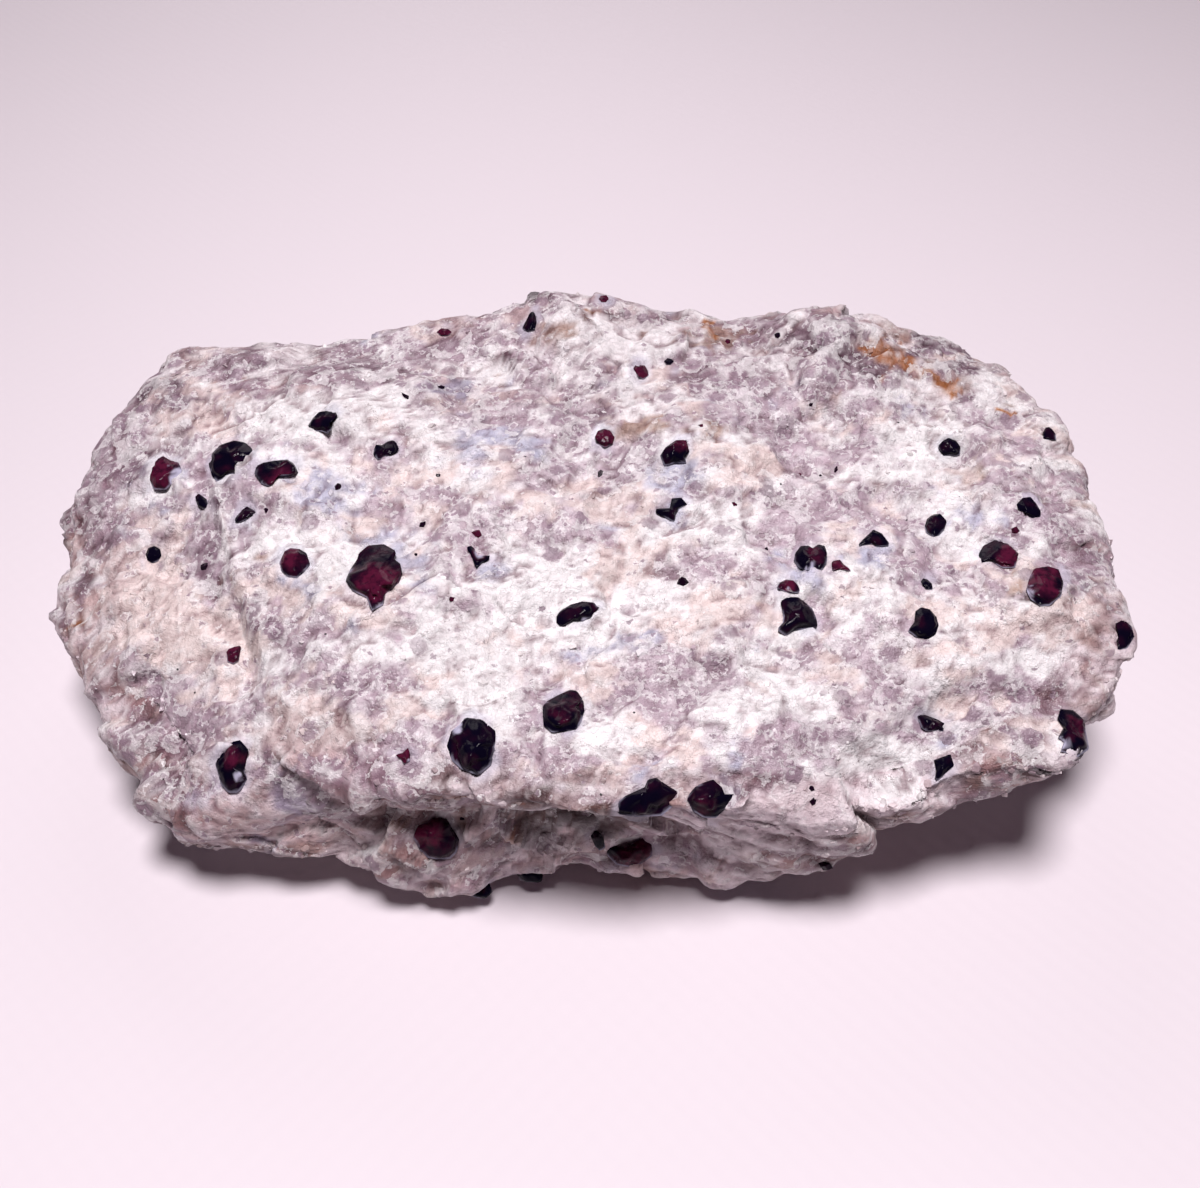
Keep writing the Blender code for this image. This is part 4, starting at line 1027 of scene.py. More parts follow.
def skin_colours(points, normals, relief, gap, shape, side, rock):
    """The ground's tint and its share of clear quartz.

    Minerals give the colour. The front wall has brown and tan layers with dark creases between them;
    the layers also darken it as painted shade, and a purple tint on it is painted shade. The far side,
    the ends and the lower left are darker, as painted shade where the rock turns from the light. Pale
    fine rock rings the garnets. Edges that stand out are painted whiter, as painted light where light
    gets through thin edges, and the feet of steps and crevices are painted darker and browner, as
    painted shade.
    """
    # The rock's settings hold a colour under each mineral's name, and the first mineral is the white one.
    shares = mineral_shares(points, normals, 51)
    white = shares[:, 0]
    tint = shares @ np.array([tuple(getattr(rock, name)) for name in MINERALS])
    clear = shares @ np.array([row[-1] for row in MINERALS.values()])

    # The front wall, found by facing the front: brown and tan layers that also stand in for painted shade
    # there, dark creases, and a purple tint that is painted shade.
    layers = points * np.array([0.25, 0.25, 1.0]) + 0.5 * wander(points, 3.0, 67)[:, None]
    wall = smooth(1.4 * side - 0.2) * smooth((-normals[:, 1] - 0.15) / 0.3)
    stained_and_shaded = wall * smooth(0.7 + 1.2 * wander(layers, 2.2, 66)) * (1.0 - 0.8 * white)
    stain = smooth(0.5 + 1.4 * wander(layers, 1.3, 68))[:, None]
    stain = np.array(tuple(rock.brown)) * (1.0 - stain) + np.array(tuple(rock.bed)) * stain
    tint = tint + (stain - tint) * (rock.wall_stain_and_shade * stained_and_shaded)[:, None]
    crease = smooth(1.0 - np.abs(broken(layers, 1.8, 2, 69)) / 0.10) * wall * (1.0 - 0.5 * white)
    tint = covered(tint, rock.crack, 0.85 * crease)
    tint = multiplied(tint, rock.wall_shade_tint, wall)

    across, up, _ = seen(points, normals)
    # Painted shade: darker towards the far edge, the ends and the lower left, where the rock turns from
    # the light; white feldspar takes less of it.
    worn = smooth((up - 15.0) / 6.0) + smooth((np.abs(across) - 40.0) / 10.0)
    worn = worn + smooth((-8.0 - up) / 10.0) * smooth((-20.0 - across) / 10.0)
    worn = worn * smooth(0.75 + 0.9 * broken(points, 5.0, 3, 63)) * (1.0 - wall) * (1.0 - 0.7 * white)
    tint = multiplied(tint, rock.turned_shade, np.minimum(worn, 1.0))
    tint = tint * (1.0 + 0.05 * broken(points, 5.0, 3, 61) + 0.05 * wander(points, 0.9, 62))[:, None]

    halo = smooth((1.0 + 0.6 * wander(points, 1.3, 64) - gap) / 0.8)
    halo = halo * smooth(0.6 + 1.1 * wander(points, 2.0, 65))
    tint = covered(tint, rock.halo, 0.5 * halo)
    clear = clear * (1.0 - halo)

    heights = relief.reshape(shape)
    edge = sharper(heights, 1) / 0.05 + sharper(heights, 4) / 0.22
    # Painted light: edges that stand out are whitened, as if light got through them.
    rim = np.clip(edge, 0.0, 2.0) * smooth((gap - 0.3) / 0.9) * rock.edge_light
    tint = covered(tint, rock.white, np.clip(rim, 0.0, 0.8))
    # Painted shade: the feet of steps and crevices are darkened and browned.
    tint = multiplied(tint, rock.crevice_shade_tint, np.clip(np.clip(-edge, 0.0, 2.5) * rock.crevice_shade_strength, 0.0, 1.0))
    return np.clip(tint, 0.0, 1.0), np.clip(clear, 0.0, 1.0)


def make_rock(rock):
    """The fine skin of the matrix, closed by the flat that it rests on. It stands for the solid."""
    replace_piece("matrix_rock")
    grid, side = matrix_form()
    shape = grid.shape[:2]
    normals = grid_normals(grid)
    points = grid.reshape(-1, 3)
    gap = garnet_gap(points, normals)
    relief = skin_relief(points, normals, side, gap, rock)
    shown = smooth((points[:, 2] - 0.3) / 1.5)
    tint, clear = skin_colours(points, normals, relief, gap, shape, side, rock)
    points = points + normals * (relief * shown)[:, None]
    points[:, 2] = np.maximum(points[:, 2], 0.0)
    faces = grid_faces(*shape)
    faces.append(edge_ring(*shape))
    made = new_piece("matrix_rock", points, faces, rock_material(rock),
                     {"tint": tint, "clear": clear})
    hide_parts("matrix")


# --- The garnets ---------------------------------------------------------------------------------------


def crystal_faces(name, middle):
    """Outward normals and distances from the middle, in millimetres, of a packed crystal's flat faces."""
    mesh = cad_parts[name].data
    mesh.calc_loop_triangles()
    points = np.empty(len(mesh.vertices) * 3)
    mesh.vertices.foreach_get("co", points)
    corners = np.empty(len(mesh.loop_triangles) * 3, np.int32)
    mesh.loop_triangles.foreach_get("vertices", corners)
    corners = points.reshape(-1, 3)[corners.reshape(-1, 3)] / MM - middle
    normals = np.cross(corners[:, 1] - corners[:, 0], corners[:, 2] - corners[:, 0])
    large = np.linalg.norm(normals, axis=1) > 1e-4
    normals = normals[large] / np.linalg.norm(normals[large], axis=1, keepdims=True)
    distances = (normals * corners[large, 0]).sum(axis=1)
    _, kept = np.unique(np.round(normals, 2), axis=0, return_index=True)
    return normals[kept], distances[kept]


def directions(bearing, polar):
    """Unit vectors from their bearings round +Z and their angles from it."""
    out = np.sin(polar)
    return np.stack([out * np.cos(bearing), out * np.sin(bearing), np.cos(polar)], axis=-1)


def ball(around_it):
    """Bearings and polar angles all round, ring by ring and then the poles, and the faces on them."""
    rings = around_it // 2
    polar = np.linspace(0.0, math.pi, rings + 1)[1:-1]
    bearing = np.arange(around_it) * math.tau / around_it
    polar, bearing = np.meshgrid(polar, bearing, indexing="ij")
    ring = np.arange(rings - 2)[:, None] * around_it
    below = ring + around_it
    step = np.arange(around_it)
    after = (step + 1) % around_it
    sides = np.stack([ring + step, below + step, below + after, ring + after], axis=-1)
    last = (rings - 2) * around_it
    top, foot = last + around_it, last + around_it + 1
    caps = np.stack([step, after, np.full(around_it, top)], axis=1).tolist()
    caps += np.stack([last + after, last + step, np.full(around_it, foot)], axis=1).tolist()
    bearing = np.concatenate([bearing.ravel(), [0.0, 0.0]])
    polar = np.concatenate([polar.ravel(), [0.0, math.pi]])
    return bearing, polar, sides.reshape(-1, 4).tolist() + caps


def worn_reach(ways, normals, distances, garnet):
    """How far a crystal with these flat faces reaches in each direction. A high power wears its edges."""
    nearness = np.maximum(ways @ (normals / distances[:, None]).T, 0.0)
    return (nearness**garnet.edge_power).sum(axis=1) ** (-1.0 / garnet.edge_power)


def lozenge_normals(seed):
    """The twelve face normals of a garnet's lozenge-sided crystal, turned so that one nearly faces +Z."""
    pairs = [(i, j, a, b) for i, j in ((0, 1), (0, 2), (1, 2)) for a in (-1.0, 1.0) for b in (-1.0, 1.0)]
    normals = np.zeros((12, 3))
    for row, (i, j, a, b) in enumerate(pairs):
        normals[row, i], normals[row, j] = a, b
    rng = np.random.default_rng(seed)
    turned = normals / math.sqrt(2.0) @ turns(rng, 80)
    best = np.abs(turned[:, :, 2].max(axis=1) - rng.uniform(0.90, 0.99)).argmin()
    return turned[best], rng.uniform(0.86, 1.14, 12)


def chipped(points, radius, seed, garnet):
    """The share of the reach that chips, dents and ripples leave at each point."""
    offset = points / radius + 37.0 * seed
    chips = smooth(2.5 * (broken(offset, 0.8, 2, 71) - 0.35))
    return 1.0 - garnet.chipping * chips - garnet.rippling * broken(offset, 0.5, 3, 72)


def hidden_crystal(name, middle, half, tree, garnet, seed):
    """Points, directions and faces of a worn crystal off the show side, from its solid's flat faces.

    Its middle is laid a tenth of its size outside the nearest place on the skin, so that a good half of
    it stands out.
    """
    bearing, polar, faces = ball(BALL_SIDES)
    ways = directions(bearing, polar)
    normals, distances = crystal_faces(name, middle)
    reach = worn_reach(ways, normals, np.maximum(distances, 0.05), garnet)
    reach = reach * chipped(ways * half.mean(), half.mean(), seed, garnet)
    place, normal = tree.find_nearest(Vector(middle * MM))[:2]
    seat = np.array(place) / MM + 0.1 * half.mean() * np.array(normal)
    return seat + ways * reach[:, None], ways, faces


def shown_crystal(number, tree, garnet):
    """Points of a crystal of the show side, their places in its outline, their share of its width, and
    its faces. Its outline from the eye is the table's.

    A worn lozenge-sided crystal is drawn about the line of sight. Its width at each bearing is scaled to
    the outline, its widest line is laid in the local plane of the skin, and its head domes to the eye.
    Near the pole, width and level are the same at every bearing, which leaves no creases there.
    """
    middle_x, middle_y, outline = SHOWN_GARNETS[number]
    ahead, right, upward, distance = sight_axes()
    eye = np.array(EYE)
    sight = ahead * distance + right * middle_x + upward * middle_y
    sight = sight / np.linalg.norm(sight)
    across = right - sight * (right @ sight)
    across = across / np.linalg.norm(across)
    rise = np.cross(across, sight)
    rim_at = np.linspace(0.0, math.tau, 12, endpoint=False)
    rim = outline_reach(outline, rim_at) * 1.15
    met = []
    for off_x, off_y in [(0.0, 0.0), *zip(rim * np.cos(rim_at), rim * np.sin(rim_at))]:
        way = ahead * distance + right * (middle_x + off_x) + upward * (middle_y + off_y)
        place = tree.ray_cast(Vector(eye * MM), Vector(way).normalized())[0]
        if place is not None:
            met.append(np.array(place) / MM - eye)
    if len(met) < 6:
        raise ValueError(f"garnet {number} misses the rock")
    met = np.array(met)
    depth = np.median(met @ sight)
    flat = np.stack([met @ across, met @ rise, np.ones(len(met))], axis=1)
    near = np.abs(met @ sight - depth) < 3.0
    slope = np.linalg.lstsq(flat[near], (met @ sight)[near], rcond=None)[0]
    slope[:2] = np.clip(slope[:2], -1.4, 1.4)
    scale = depth / distance
    radius = outline_reach(outline, np.linspace(0.0, math.tau, 36, endpoint=False)).mean() * scale

    around_it = int(np.clip(18.0 * radius + 28.0, 36, 84)) // 2 * 2
    bearing, polar, faces = ball(around_it)
    ways = directions(bearing, polar)
    normals, distances = lozenge_normals(200 + number)
    reach = worn_reach(ways, normals, distances, garnet) * chipped(ways, 1.0, number, garnet)
    width, height = reach * np.sin(polar), reach * np.cos(polar)
    rings = width[:-2].reshape(-1, around_it)
    widest = rings.argmax(axis=0)
    column = np.arange(around_it)
    most = np.concatenate([rings[widest, column], [1.0, 1.0]])
    level = np.concatenate([height[:-2].reshape(-1, around_it)[widest, column], [0.0, 0.0]])
    index = np.concatenate([np.tile(column, len(rings)), [around_it, around_it + 1]])
    part = width / most[index]
    part = part + (width / rings.max() - part) * (1.0 - smooth(part))
    wide = np.concatenate([outline_reach(outline, bearing[:around_it]) * scale, [0.0, 0.0]])[index] * part
    even = level[:around_it].mean()
    height = height - even * part - (level[index] - even) * part**5
    height = radius * np.where(height > 0.0, garnet.dome * np.maximum(height, 0.0) ** 1.6, 0.8 * height)
    flat_x, flat_y = wide * np.cos(bearing), wide * np.sin(bearing)
    deep = slope[0] * flat_x + slope[1] * flat_y + slope[2] - height
    deep = deep - garnet.lift / MM - 0.06 * radius
    points = eye + across * flat_x[:, None] + rise * flat_y[:, None] + sight * deep[:, None]
    return points, flat_x / scale, flat_y / scale, part, faces


def make_garnets(garnet):
    """Every packed garnet again, with worn edges, chips and ripples.

    The ember is how much wine red shows at a point, and the dust how much pale rock clings to it.
    """
    looks = {"garnet_dark": garnet_material("black_almandine", garnet),
             "garnet_red": garnet_material("red_almandine", garnet)}
    tree = BVHTree.FromObject(bpy.data.objects["matrix_rock"], bpy.context.evaluated_depsgraph_get())
    for name, middle, half in crystals():
        replace_piece("crystal_" + name[-2:])
        number = int(name[-2:])
        slot = "garnet_red" if number in RED_CRYSTALS else "garnet_dark"
        if number in SHOWN_GARNETS:
            points, off_x, off_y, part, faces = shown_crystal(number, tree, garnet)
            noise = wander(points + number, 0.8, 73)
            ember = (0.16 if slot == "garnet_red" else 0.03) + 0.20 * noise
            if number in EMBERS:
                at_x, at_y, reach, strength = EMBERS[number]
                away = np.hypot(off_x - at_x, off_y - at_y) / reach
                ember = ember + strength * smooth(1.5 - away + 0.5 * noise)
            foot = smooth(-0.1 - 1.2 * off_y / half.mean() + 1.6 * noise)
            dust = 0.7 * smooth((part - 0.88) / 0.12) * foot
            if number in CRUSTS:
                at_x, at_y, reach = CRUSTS[number]
                away = np.hypot(off_x - at_x, off_y - at_y) / reach
                dust = np.maximum(dust, smooth(1.5 - 1.4 * away + 1.0 * wander(points, 0.5, 75)))
        else:
            points, ways, faces = hidden_crystal(name, middle, half, tree, garnet, number)
            noise = wander(points + number, 0.8 * half.mean(), 73)
            ember = 0.75 * noise + (0.45 if slot == "garnet_red" else -0.30)
            dust = 0.6 * smooth(2.0 * (-ways[:, 2] + 0.4 * wander(points, 0.7, 74) - 0.1))
        made = new_piece("crystal_" + name[-2:], points, faces, looks[slot],
                         {"ember": np.clip(ember, 0.0, 1.0), "dust": np.clip(dust, 0.0, 1.0)})
        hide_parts(name)


# --- Grains and small garnets --------------------------------------------------------------------------


def grain_template():
    """A grain with twelve lozenge sides: its 14 corners and 24 triangles, at unit size."""
    cube = [(x, y, z) for x in (-1, 1) for y in (-1, 1) for z in (-1, 1)]
    tips = [(2, 0, 0), (-2, 0, 0), (0, 2, 0), (0, -2, 0), (0, 0, 2), (0, 0, -2)]
    corners = np.array(cube + tips, float) / 2.0
    faces = []
    for i, j in ((0, 1), (0, 2), (1, 2)):
        for sign_i in (-1, 1):
            for sign_j in (-1, 1):
                k = 3 - i - j
                ends = [8 + 2 * axis + (sign < 0) for axis, sign in ((i, sign_i), (j, sign_j))]
                shared = []
                for sign_k in (-1, 1):
                    signs = [0, 0, 0]
                    signs[i], signs[j], signs[k] = sign_i, sign_j, sign_k
                    shared.append(cube.index(tuple(signs)))
                quad = [ends[0], shared[0], ends[1], shared[1]]
                first, second, third = corners[quad[:3]]
                normal = np.cross(second - first, third - first)
                if normal @ corners[quad].sum(axis=0) < 0.0:
                    quad = quad[::-1]
                faces += [[quad[0], quad[1], quad[2]], [quad[0], quad[2], quad[3]]]
    return corners, np.array(faces)


def turns(rng, count):
    """Random rotations, as count x 3 x 3 matrices, from unit quaternions."""
    w, x, y, z = rng.normal(size=(4, count))
    size = np.sqrt(w * w + x * x + y * y + z * z)
    w, x, y, z = w / size, x / size, y / size, z / size
    rows = [[1 - 2 * (y * y + z * z), 2 * (x * y - w * z), 2 * (x * z + w * y)],
            [2 * (x * y + w * z), 1 - 2 * (x * x + z * z), 2 * (y * z - w * x)],
            [2 * (x * z - w * y), 2 * (y * z + w * x), 1 - 2 * (x * x + y * y)]]
    return np.array(rows).transpose(2, 0, 1)


def grain_crowd(places, halves, seed, uneven):
    """Many grains as one mesh: each is the template scaled by its half sizes, turned, and made uneven."""
    rng = np.random.default_rng(seed)
    corners, faces = grain_template()
    count = len(places)
    shapes = corners[None] * (1.0 + uneven * rng.uniform(-1.0, 1.0, (count, len(corners), 1)))
    shapes = shapes * halves[:, None, :]
    shapes = np.einsum("nij,nkj->nki", turns(rng, count), shapes) + places[:, None, :]
    index = faces[None] + (np.arange(count) * len(corners))[:, None, None]
    return shapes.reshape(-1, 3), index.reshape(-1, 3).tolist()


def skin_points():
    """The finished skin's points in millimetres, its normals, tints and shares of clear grains."""
    mesh = bpy.data.objects["matrix_rock"].data
    count = len(mesh.vertices)
    points, normals, tint, clear = (np.empty(count * width) for width in (3, 3, 4, 1))
    mesh.vertices.foreach_get("co", points)
    mesh.vertices.foreach_get("normal", normals)
    mesh.attributes["tint"].data.foreach_get("color", tint)
    mesh.attributes["clear"].data.foreach_get("value", clear)
    return points.reshape(-1, 3) / MM, normals.reshape(-1, 3), tint.reshape(-1, 4)[:, :3], clear


def make_grains(grain):
    """Loose grains of quartz and of feldspar, bedded in the skin where that mineral is."""
    points, normals, tint, clear = skin_points()
    open_place = (points[:, 2] > 1.2) * smooth((garnet_gap(points, normals) - 0.8) / 1.0)
    # Count, colour and its share, where the mineral is, roughness, IOR and seed.
    kinds = {
        "quartz_grains": (grain.quartz_count, grain.quartz, 0.45, clear**1.5, 0.28, QUARTZ_IOR, 81),
        "feldspar_grains": (grain.feldspar_count, grain.feldspar, 0.25, 1.0 - clear, 0.50,
                            FELDSPAR_IOR, 82),
    }
    for name, (count, colour, own_share, mineral, roughness, bend, seed) in kinds.items():
        replace_piece(name)
        rng = np.random.default_rng(seed)
        weight = open_place * (mineral + 0.02) * smooth(0.7 + 1.2 * wander(points, 7.0, seed))
        chosen = rng.choice(len(points), count, replace=False, p=weight / weight.sum())
        size = grain.least / MM + (grain.most - grain.least) / MM * rng.random(count) ** 2.5
        halves = size[:, None] * rng.uniform(0.55, 1.15, (count, 3)) / 2.0
        places = points[chosen] - normals[chosen] * (size * rng.uniform(0.16, 0.42, count))[:, None]
        places[:, 2] = np.maximum(places[:, 2], size)
        cloud, faces = grain_crowd(places, halves, seed, 0.16)
        shades = tint[chosen] * (1.0 - own_share) + np.array(tuple(colour)) * own_share
        shades = shades * rng.uniform(0.84, 1.10, (count, 1))
        shades = np.repeat(np.clip(shades, 0.0, 1.0), len(cloud) // count, axis=0)
        made = new_piece(name, cloud, faces, grain_material(name, roughness, bend),
                         {"tint": shades})
        made.data.shade_flat()


def make_small_garnets():
    """The garnets under about a millimetre, each where its line of sight meets the skin.

    They are worn lozenge-sided grains, and have the looks of the bigger garnets.
    """
    rock = bpy.data.objects["matrix_rock"]
    tree = BVHTree.FromObject(rock, bpy.context.evaluated_depsgraph_get())
    ahead, right, upward, distance = sight_axes()
    found = {"black": [], "red": []}
    for across, up, wide, tall, colour in SMALL_GARNETS:
        way = Vector(ahead * distance + right * across + upward * up).normalized()
        place, normal, _, length = tree.ray_cast(Vector(EYE) * MM, way)
        if place is None:
            raise ValueError(f"the small garnet at {across}, {up} misses the rock")
        scale = length / MM / distance
        sunk = np.array(place - normal * SMALL_SUNK * MM) / MM
        found[colour].append((*sunk, wide * scale, tall * scale))
    for colour, slot, ember in (("black", "garnet_dark", 0.1), ("red", "garnet_red", 0.9)):
        name = f"small_garnets_{colour}"
        replace_piece(name)
        table = np.array(found[colour])
        halves = np.stack([table[:, 3], (table[:, 3] + table[:, 4]) / 2.0, table[:, 4]], axis=1) * 0.5
        cloud, faces = grain_crowd(table[:, :3], halves, 91, 0.12)
        attributes = {"ember": np.full(len(cloud), ember), "dust": np.zeros(len(cloud))}
        look = bpy.data.materials[f"{colour}_almandine"]
        made = new_piece(name, cloud, faces, look, attributes)
        made.data.shade_flat()


# --- The stage -----------------------------------------------------------------------------------------


def make_stage(stage):
    """A pale sheet that sweeps up behind the specimen, two big soft lights and the camera."""
    for name in ("backing_sheet", "overhead_light", "fill_light", "camera"):
        replace_piece(name)
    # The sheet is a line carried sideways: flat, then a quarter of a circle, then upright.
    front, back, bend, top = -600.0, 420.0, 260.0, 500.0
    flat = np.linspace(front, back, 24)
    curve = np.linspace(0.0, math.pi / 2.0, 17)[1:]
    path_y = np.concatenate([flat, back + bend * np.sin(curve), [back + bend]])
    path_z = np.concatenate([np.zeros(24), bend * (1.0 - np.cos(curve)), [bend + top]])
    sides = np.linspace(-700.0, 700.0, 3)
    grid = np.stack([np.broadcast_to(sides, (len(path_y), 3)), np.repeat(path_y[:, None], 3, 1),
                     np.repeat(path_z[:, None], 3, 1)], axis=-1)
    mesh = bpy.data.meshes.new("backing_sheet")
    mesh.from_pydata((grid.reshape(-1, 3) * MM).tolist(), [], grid_faces(*grid.shape[:2]))
    mesh.update()
    mesh.shade_smooth()
    sheet = bpy.data.objects.new("backing_sheet", mesh)
    bpy.context.scene.collection.objects.link(sheet)

    # Embossed paper, pressed in rows of soft dots: to the eye it is matt and pale, and almost plain.
    made, tree, shader = new_material("embossed_sheet")
    place = node(tree, "ShaderNodeTexCoord").outputs["Object"]
    parts = node(tree, "ShaderNodeSeparateXYZ", {0: place})
    waves = []
    for axis in ("X", "Y"):
        wave = node(tree, "ShaderNodeMath", {0: parts.outputs[axis], 1: math.tau / (EMBOSS_SPACING * MM)},
                    operation="MULTIPLY")
        waves.append(node(tree, "ShaderNodeMath", {0: wave.outputs[0]}, operation="SINE").outputs[0])
    dots = node(tree, "ShaderNodeMath", {0: waves[0], 1: waves[1]}, operation="MULTIPLY")
    height = node(tree, "ShaderNodeMath", {0: dots.outputs[0], 1: EMBOSS_HEIGHT * MM},
                  operation="MULTIPLY")
    bump = node(tree, "ShaderNodeBump", {"Strength": 1.0, "Distance": 1.0, "Height": height.outputs[0]})
    tree.links.new(bump.outputs[0], shader.inputs["Normal"])
    shader.inputs["Base Color"].default_value = (*stage.sheet, 1.0)
    shader.inputs["Roughness"].default_value = 0.6
    mesh.materials.append(made)

    for name, place, size, power in (
        ("overhead_light", (0.0, -55.0, 400.0), 120.0, stage.light_power),
        ("fill_light", (-60.0, 420.0, 260.0), 260.0, stage.fill_power),
    ):
        lamp = bpy.data.lights.new(name, "AREA")
        lamp.shape = "DISK"
        lamp.size = size * MM
        lamp.energy = power
        lamp.color = tuple(stage.light)
        light = bpy.data.objects.new(name, lamp)
        light.location = Vector(place) * MM
        light.rotation_euler = (Vector(LOOKS_AT) - Vector(place)).to_track_quat("-Z", "Y").to_euler()
        bpy.context.scene.collection.objects.link(light)

    world = bpy.data.worlds.new("studio_air")
    world.use_nodes = True
    background = world.node_tree.nodes["Background"]
    background.inputs["Color"].default_value = (*stage.air, 1.0)
    background.inputs["Strength"].default_value = stage.air_strength
    bpy.context.scene.world = world

    lens = bpy.data.cameras.new("camera")
    lens.lens = LENS
    lens.sensor_width = SENSOR_WIDTH
    lens.clip_start = 0.005
    lens.clip_end = 10.0
    lens.dof.use_dof = False
    camera = bpy.data.objects.new("camera", lens)
    camera.location = Vector(EYE) * MM
    camera.rotation_euler = (Vector(LOOKS_AT) - Vector(EYE)).to_track_quat("-Z", "Y").to_euler()
    bpy.context.scene.collection.objects.link(camera)
    bpy.context.scene.camera = camera
    bpy.context.scene.view_settings.view_transform = "Standard"


# --- The add-on ----------------------------------------------------------------------------------------


def colour_setting(name, description, code):
    """A colour property with a default given as sRGB hex."""
    return bpy.props.FloatVectorProperty(name=name, description=description, default=linear(code),
                                         subtype="COLOR", size=3, min=0.0, max=1.0)


def length_setting(name, description, millimetres):
    """A length property with a default given in millimetres."""
    return bpy.props.FloatProperty(name=name, description=description, default=millimetres * MM,
                                   unit="LENGTH", subtype="DISTANCE", min=0.0)


def number_setting(name, description, default, most):
    """A plain number's property, from 0 to the most that makes sense."""
    return bpy.props.FloatProperty(name=name, description=description, default=default, min=0.0, max=most)


class SpecimenRock(bpy.types.PropertyGroup):
    """What a user would change on the matrix's skin."""

    grain_size: length_setting("Cleavage size", "Size of the bigger cleavages", 1.9)
    sugar_size: length_setting("Sugar size", "Size of the finest cleavages", 0.55)
    tilt: number_setting("Tilt", "How far the cleavages lean", 0.40, 2.0)
    fuzz: length_setting("Fuzz", "Depth of the finest roughness", 0.12)
    cloud: number_setting("Clouding", "How much the minerals are clouded", 0.10, 0.5)
    rim: number_setting("Grain rims", "How white the rims of grey grains are", 0.5, 1.0)
    stretch: bpy.props.FloatProperty(name="Stretch", description="Below 1, grains are longer along the "
                                     "specimen", default=0.85, min=0.3, max=1.0)
    facet_depth: length_setting("Facet depth", "How far the broken facets stand out", 0.28)
    shell_depth: length_setting("Shell depth", "How far the thin broken shells stand out", 0.17)
    fine_depth: length_setting("Fine depth", "Depth of the roughness under a millimetre", 0.025)
    # How strong the painted light on thin edges that stand out is.
    edge_light: number_setting("Edge light", "How white the thin edges are", 0.22, 2.0)
    # How strong the painted shade in the crevices is.
    crevice_shade_strength: number_setting("Foot stain", "How dark the crevices are", 0.32, 2.0)
    # How far the front wall takes its brown and tan layers, which also stand in for painted shade there.
    wall_stain_and_shade: number_setting("Wall stain", "How brown the front wall is", 0.65, 1.0)
    pebble_size: length_setting("Pebble size", "Size of the rounded grains in the skin", 1.8)
    pebble_depth: length_setting("Pebble depth", "Depth of the crevices between them", 0.06)
    layering: number_setting("Layering", "How much the layers stand out on the sides", 1.0, 3.0)
    white: colour_setting("White feldspar", "Fresh white feldspar", "#E0DDDD")
    cream: colour_setting("Cream feldspar", "Cream feldspar", "#D5C5C1")
    quartz: colour_setting("Quartz", "Lavender-grey quartz", "#A5919C")
    blue: colour_setting("Bluish patches", "Bluish-white fine-grained patches", "#AAA9BB")
    grain: colour_setting("Grey grains", "Clear grey grains in the ground", "#87727F")
    dark: colour_setting("Dark quartz", "The darkest grey quartz", "#7A626F")
    tan: colour_setting("Tan stain", "Weathered tan feldspar", "#A58A7D")
    rust: colour_setting("Rust stain", "Iron stain", "#B4763F")
    brown: colour_setting("Brown layers", "Brown-grey layers of the front", "#4E3335")
    bed: colour_setting("Tan layers", "Tan layers of the front", "#86614F")
    halo: colour_setting("Halo", "The pale rims round the garnets", "#C6C6D4")
    # Painted shade towards the far edge, the ends and the lower left, where the rock turns from the
    # light.
    turned_shade: colour_setting("Weathering", "Multiplies the colour where the rock is weathered", "#C8B9BF")
    # Painted shade in the crevices and the feet of steps.
    crevice_shade_tint: colour_setting("Hollow tint", "Multiplies the colour in hollows", "#957880")
    # Purple painted shade on the front wall.
    wall_shade_tint: colour_setting("Wall tint", "Multiplies the colour on the front wall", "#F7E9EE")
    crack: colour_setting("Cracks", "Fine dark cracks", "#5C4546")
    speck: colour_setting("Specks", "Specks of black mineral", "#1A1216")


class SpecimenGarnet(bpy.types.PropertyGroup):
    """What a user would change on the garnets."""

    edge_power: bpy.props.FloatProperty(name="Edge sharpness", description="A higher number leaves the "
                                        "crystals' edges sharper", default=22.0, min=4.0, max=200.0)
    chipping: number_setting("Chipping", "Share of the radius that chips take", 0.12, 0.4)
    rippling: number_setting("Rippling", "Share of the radius that ripples take", 0.035, 0.2)
    dome: bpy.props.FloatProperty(name="Dome", description="Height of the crystals' heads as a share of "
                                  "their radius", default=0.52, min=0.2, max=1.5)
    lift: length_setting("Lift", "How far the crystals' widest line stands above the skin", 0.10)
    pitting: length_setting("Pitting", "Depth of the fine pits", 0.03)
    black: colour_setting("Black garnet", "Garnet too deep to let light through", "#080514")
    red: colour_setting("Red garnet", "Garnet where light gets through", "#471229")
    dust: colour_setting("Rock dust", "Pale rock that clings to the crystals", "#A9A6BA")


class SpecimenGrain(bpy.types.PropertyGroup):
    """What a user would change on the loose grains."""

    quartz_count: bpy.props.IntProperty(name="Quartz grains", description="How many quartz grains",
                                        default=1500, min=1, max=8000)
    feldspar_count: bpy.props.IntProperty(name="Feldspar grains", description="How many feldspar grains",
                                          default=2000, min=1, max=8000)
    least: length_setting("Least size", "The smallest grains", 0.4)
    most: length_setting("Most size", "The biggest grains", 1.25)
    quartz: colour_setting("Quartz grains' colour", "Clear grey quartz", "#A6979F")
    feldspar: colour_setting("Feldspar grains' colour", "White to cream feldspar", "#D0C6C4")


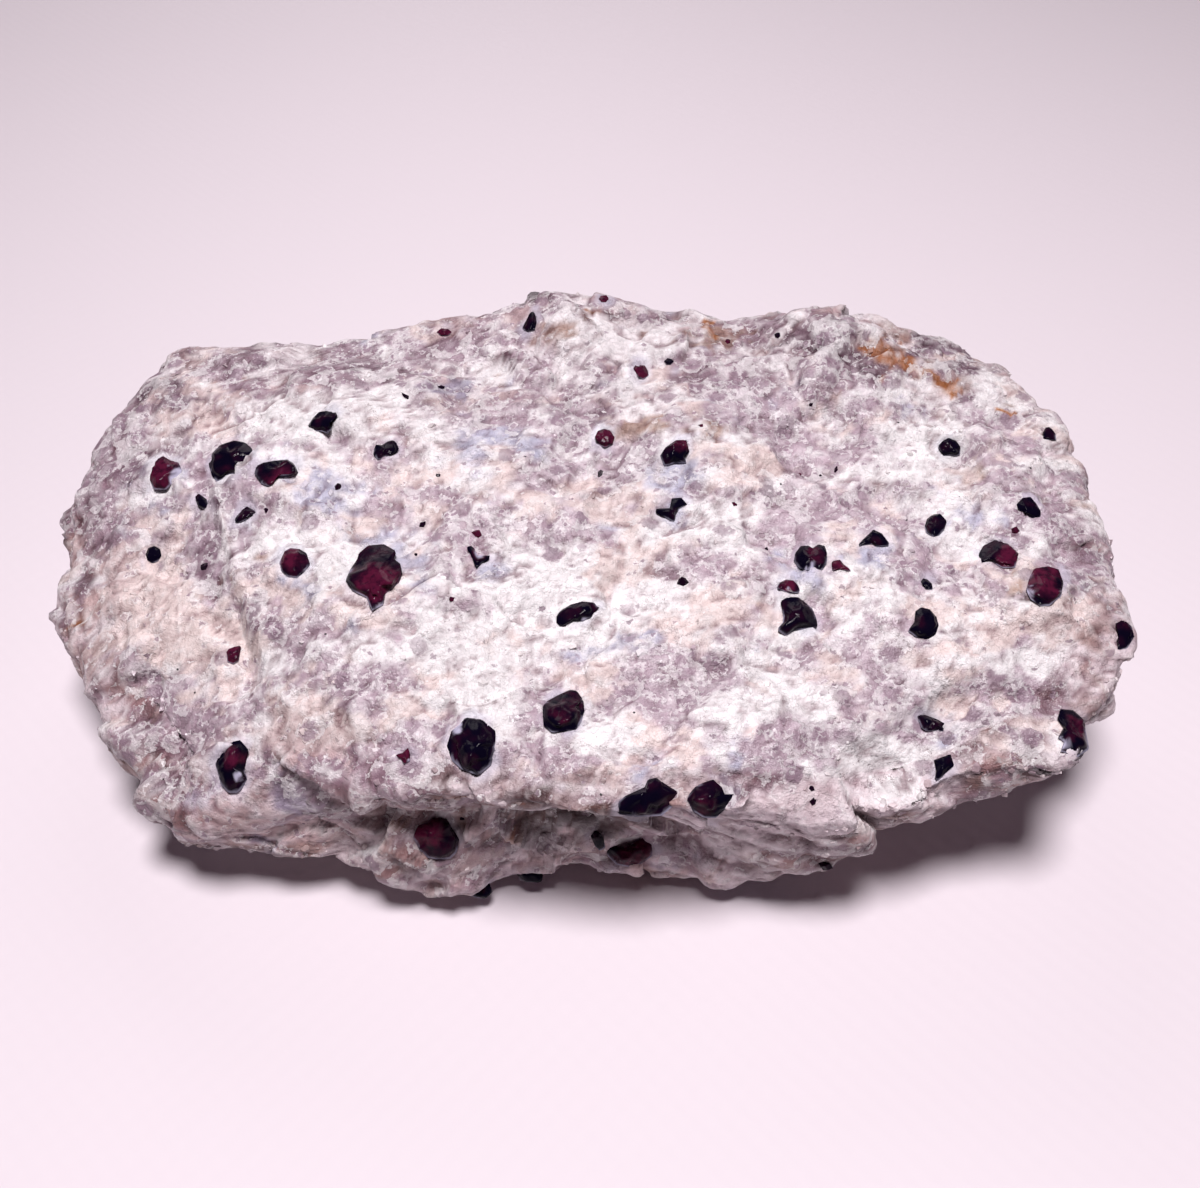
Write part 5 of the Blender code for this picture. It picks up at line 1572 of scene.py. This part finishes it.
class SpecimenStage(bpy.types.PropertyGroup):
    """What a user would change on the stage."""

    sheet: colour_setting("Backing sheet", "The pale sheet under the specimen", "#D7CFD4")
    light: colour_setting("Light", "Colour of the lamps", "#FFF8FC")
    light_power: bpy.props.FloatProperty(name="Overhead power", description="Power of the lamp above, "
                                         "in watts", default=2.2, min=0.0, unit="POWER")
    fill_power: bpy.props.FloatProperty(name="Fill power", description="Power of the fill lamp, in watts",
                                        default=0.42, min=0.0, unit="POWER")
    air: colour_setting("Air", "Colour of the light from all round", "#DBA4D2")
    air_strength: number_setting("Air strength", "Strength of the light from all round", 0.035, 10.0)


class SPECIMEN_OT_rock(bpy.types.Operator):
    """Lay the fine skin over the matrix"""

    bl_idname = "specimen.rock"
    bl_label = "Matrix rock"

    def execute(self, context):
        make_rock(context.scene.specimen_rock)
        return {"FINISHED"}


class SPECIMEN_OT_garnets(bpy.types.Operator):
    """Grow every garnet again with worn edges"""

    bl_idname = "specimen.garnets"
    bl_label = "Garnets"

    def execute(self, context):
        make_garnets(context.scene.specimen_garnet)
        return {"FINISHED"}


class SPECIMEN_OT_small_garnets(bpy.types.Operator):
    """Set the smallest garnets in the skin"""

    bl_idname = "specimen.small_garnets"
    bl_label = "Small garnets"

    def execute(self, context):
        make_small_garnets()
        return {"FINISHED"}


class SPECIMEN_OT_grains(bpy.types.Operator):
    """Bed loose grains of quartz and feldspar in the skin"""

    bl_idname = "specimen.grains"
    bl_label = "Loose grains"

    def execute(self, context):
        make_grains(context.scene.specimen_grain)
        return {"FINISHED"}


class SPECIMEN_OT_stage(bpy.types.Operator):
    """Set the sheet, the lights and the camera"""

    bl_idname = "specimen.stage"
    bl_label = "Stage"

    def execute(self, context):
        make_stage(context.scene.specimen_stage)
        return {"FINISHED"}


OPERATORS = (
    SPECIMEN_OT_rock,
    SPECIMEN_OT_garnets,
    SPECIMEN_OT_small_garnets,
    SPECIMEN_OT_grains,
    SPECIMEN_OT_stage,
)


class SPECIMEN_PT_pieces(bpy.types.Panel):
    """The pieces of the specimen"""

    bl_label = "Garnet in matrix"
    bl_space_type = "VIEW_3D"
    bl_region_type = "UI"
    bl_category = "Specimen"

    def draw(self, context):
        for operator in OPERATORS:
            self.layout.operator(operator.bl_idname)
        for name in SETTINGS:
            group = getattr(context.scene, name)
            box = self.layout.box()
            for setting in group.bl_rna.properties.keys():
                if setting not in ("rna_type", "name"):
                    box.prop(group, setting)


SETTINGS = {
    "specimen_rock": SpecimenRock,
    "specimen_garnet": SpecimenGarnet,
    "specimen_grain": SpecimenGrain,
    "specimen_stage": SpecimenStage,
}
CLASSES = (*SETTINGS.values(), *OPERATORS, SPECIMEN_PT_pieces)


def register():
    """Registers the classes and hangs the settings on the scene."""
    for made in CLASSES:
        bpy.utils.register_class(made)
    for name, group in SETTINGS.items():
        setattr(bpy.types.Scene, name, bpy.props.PointerProperty(type=group))


def unregister():
    """Takes the settings and the classes away again."""
    for name in SETTINGS:
        delattr(bpy.types.Scene, name)
    for made in reversed(CLASSES):
        bpy.utils.unregister_class(made)


def main():
    """Makes every piece and the stage, in the order that they need."""
    register()
    for operator in OPERATORS:
        group, name = operator.bl_idname.split(".")
        getattr(getattr(bpy.ops, group), name)()
    bpy.context.view_layer.update()


if __name__ == "__main__":
    main()
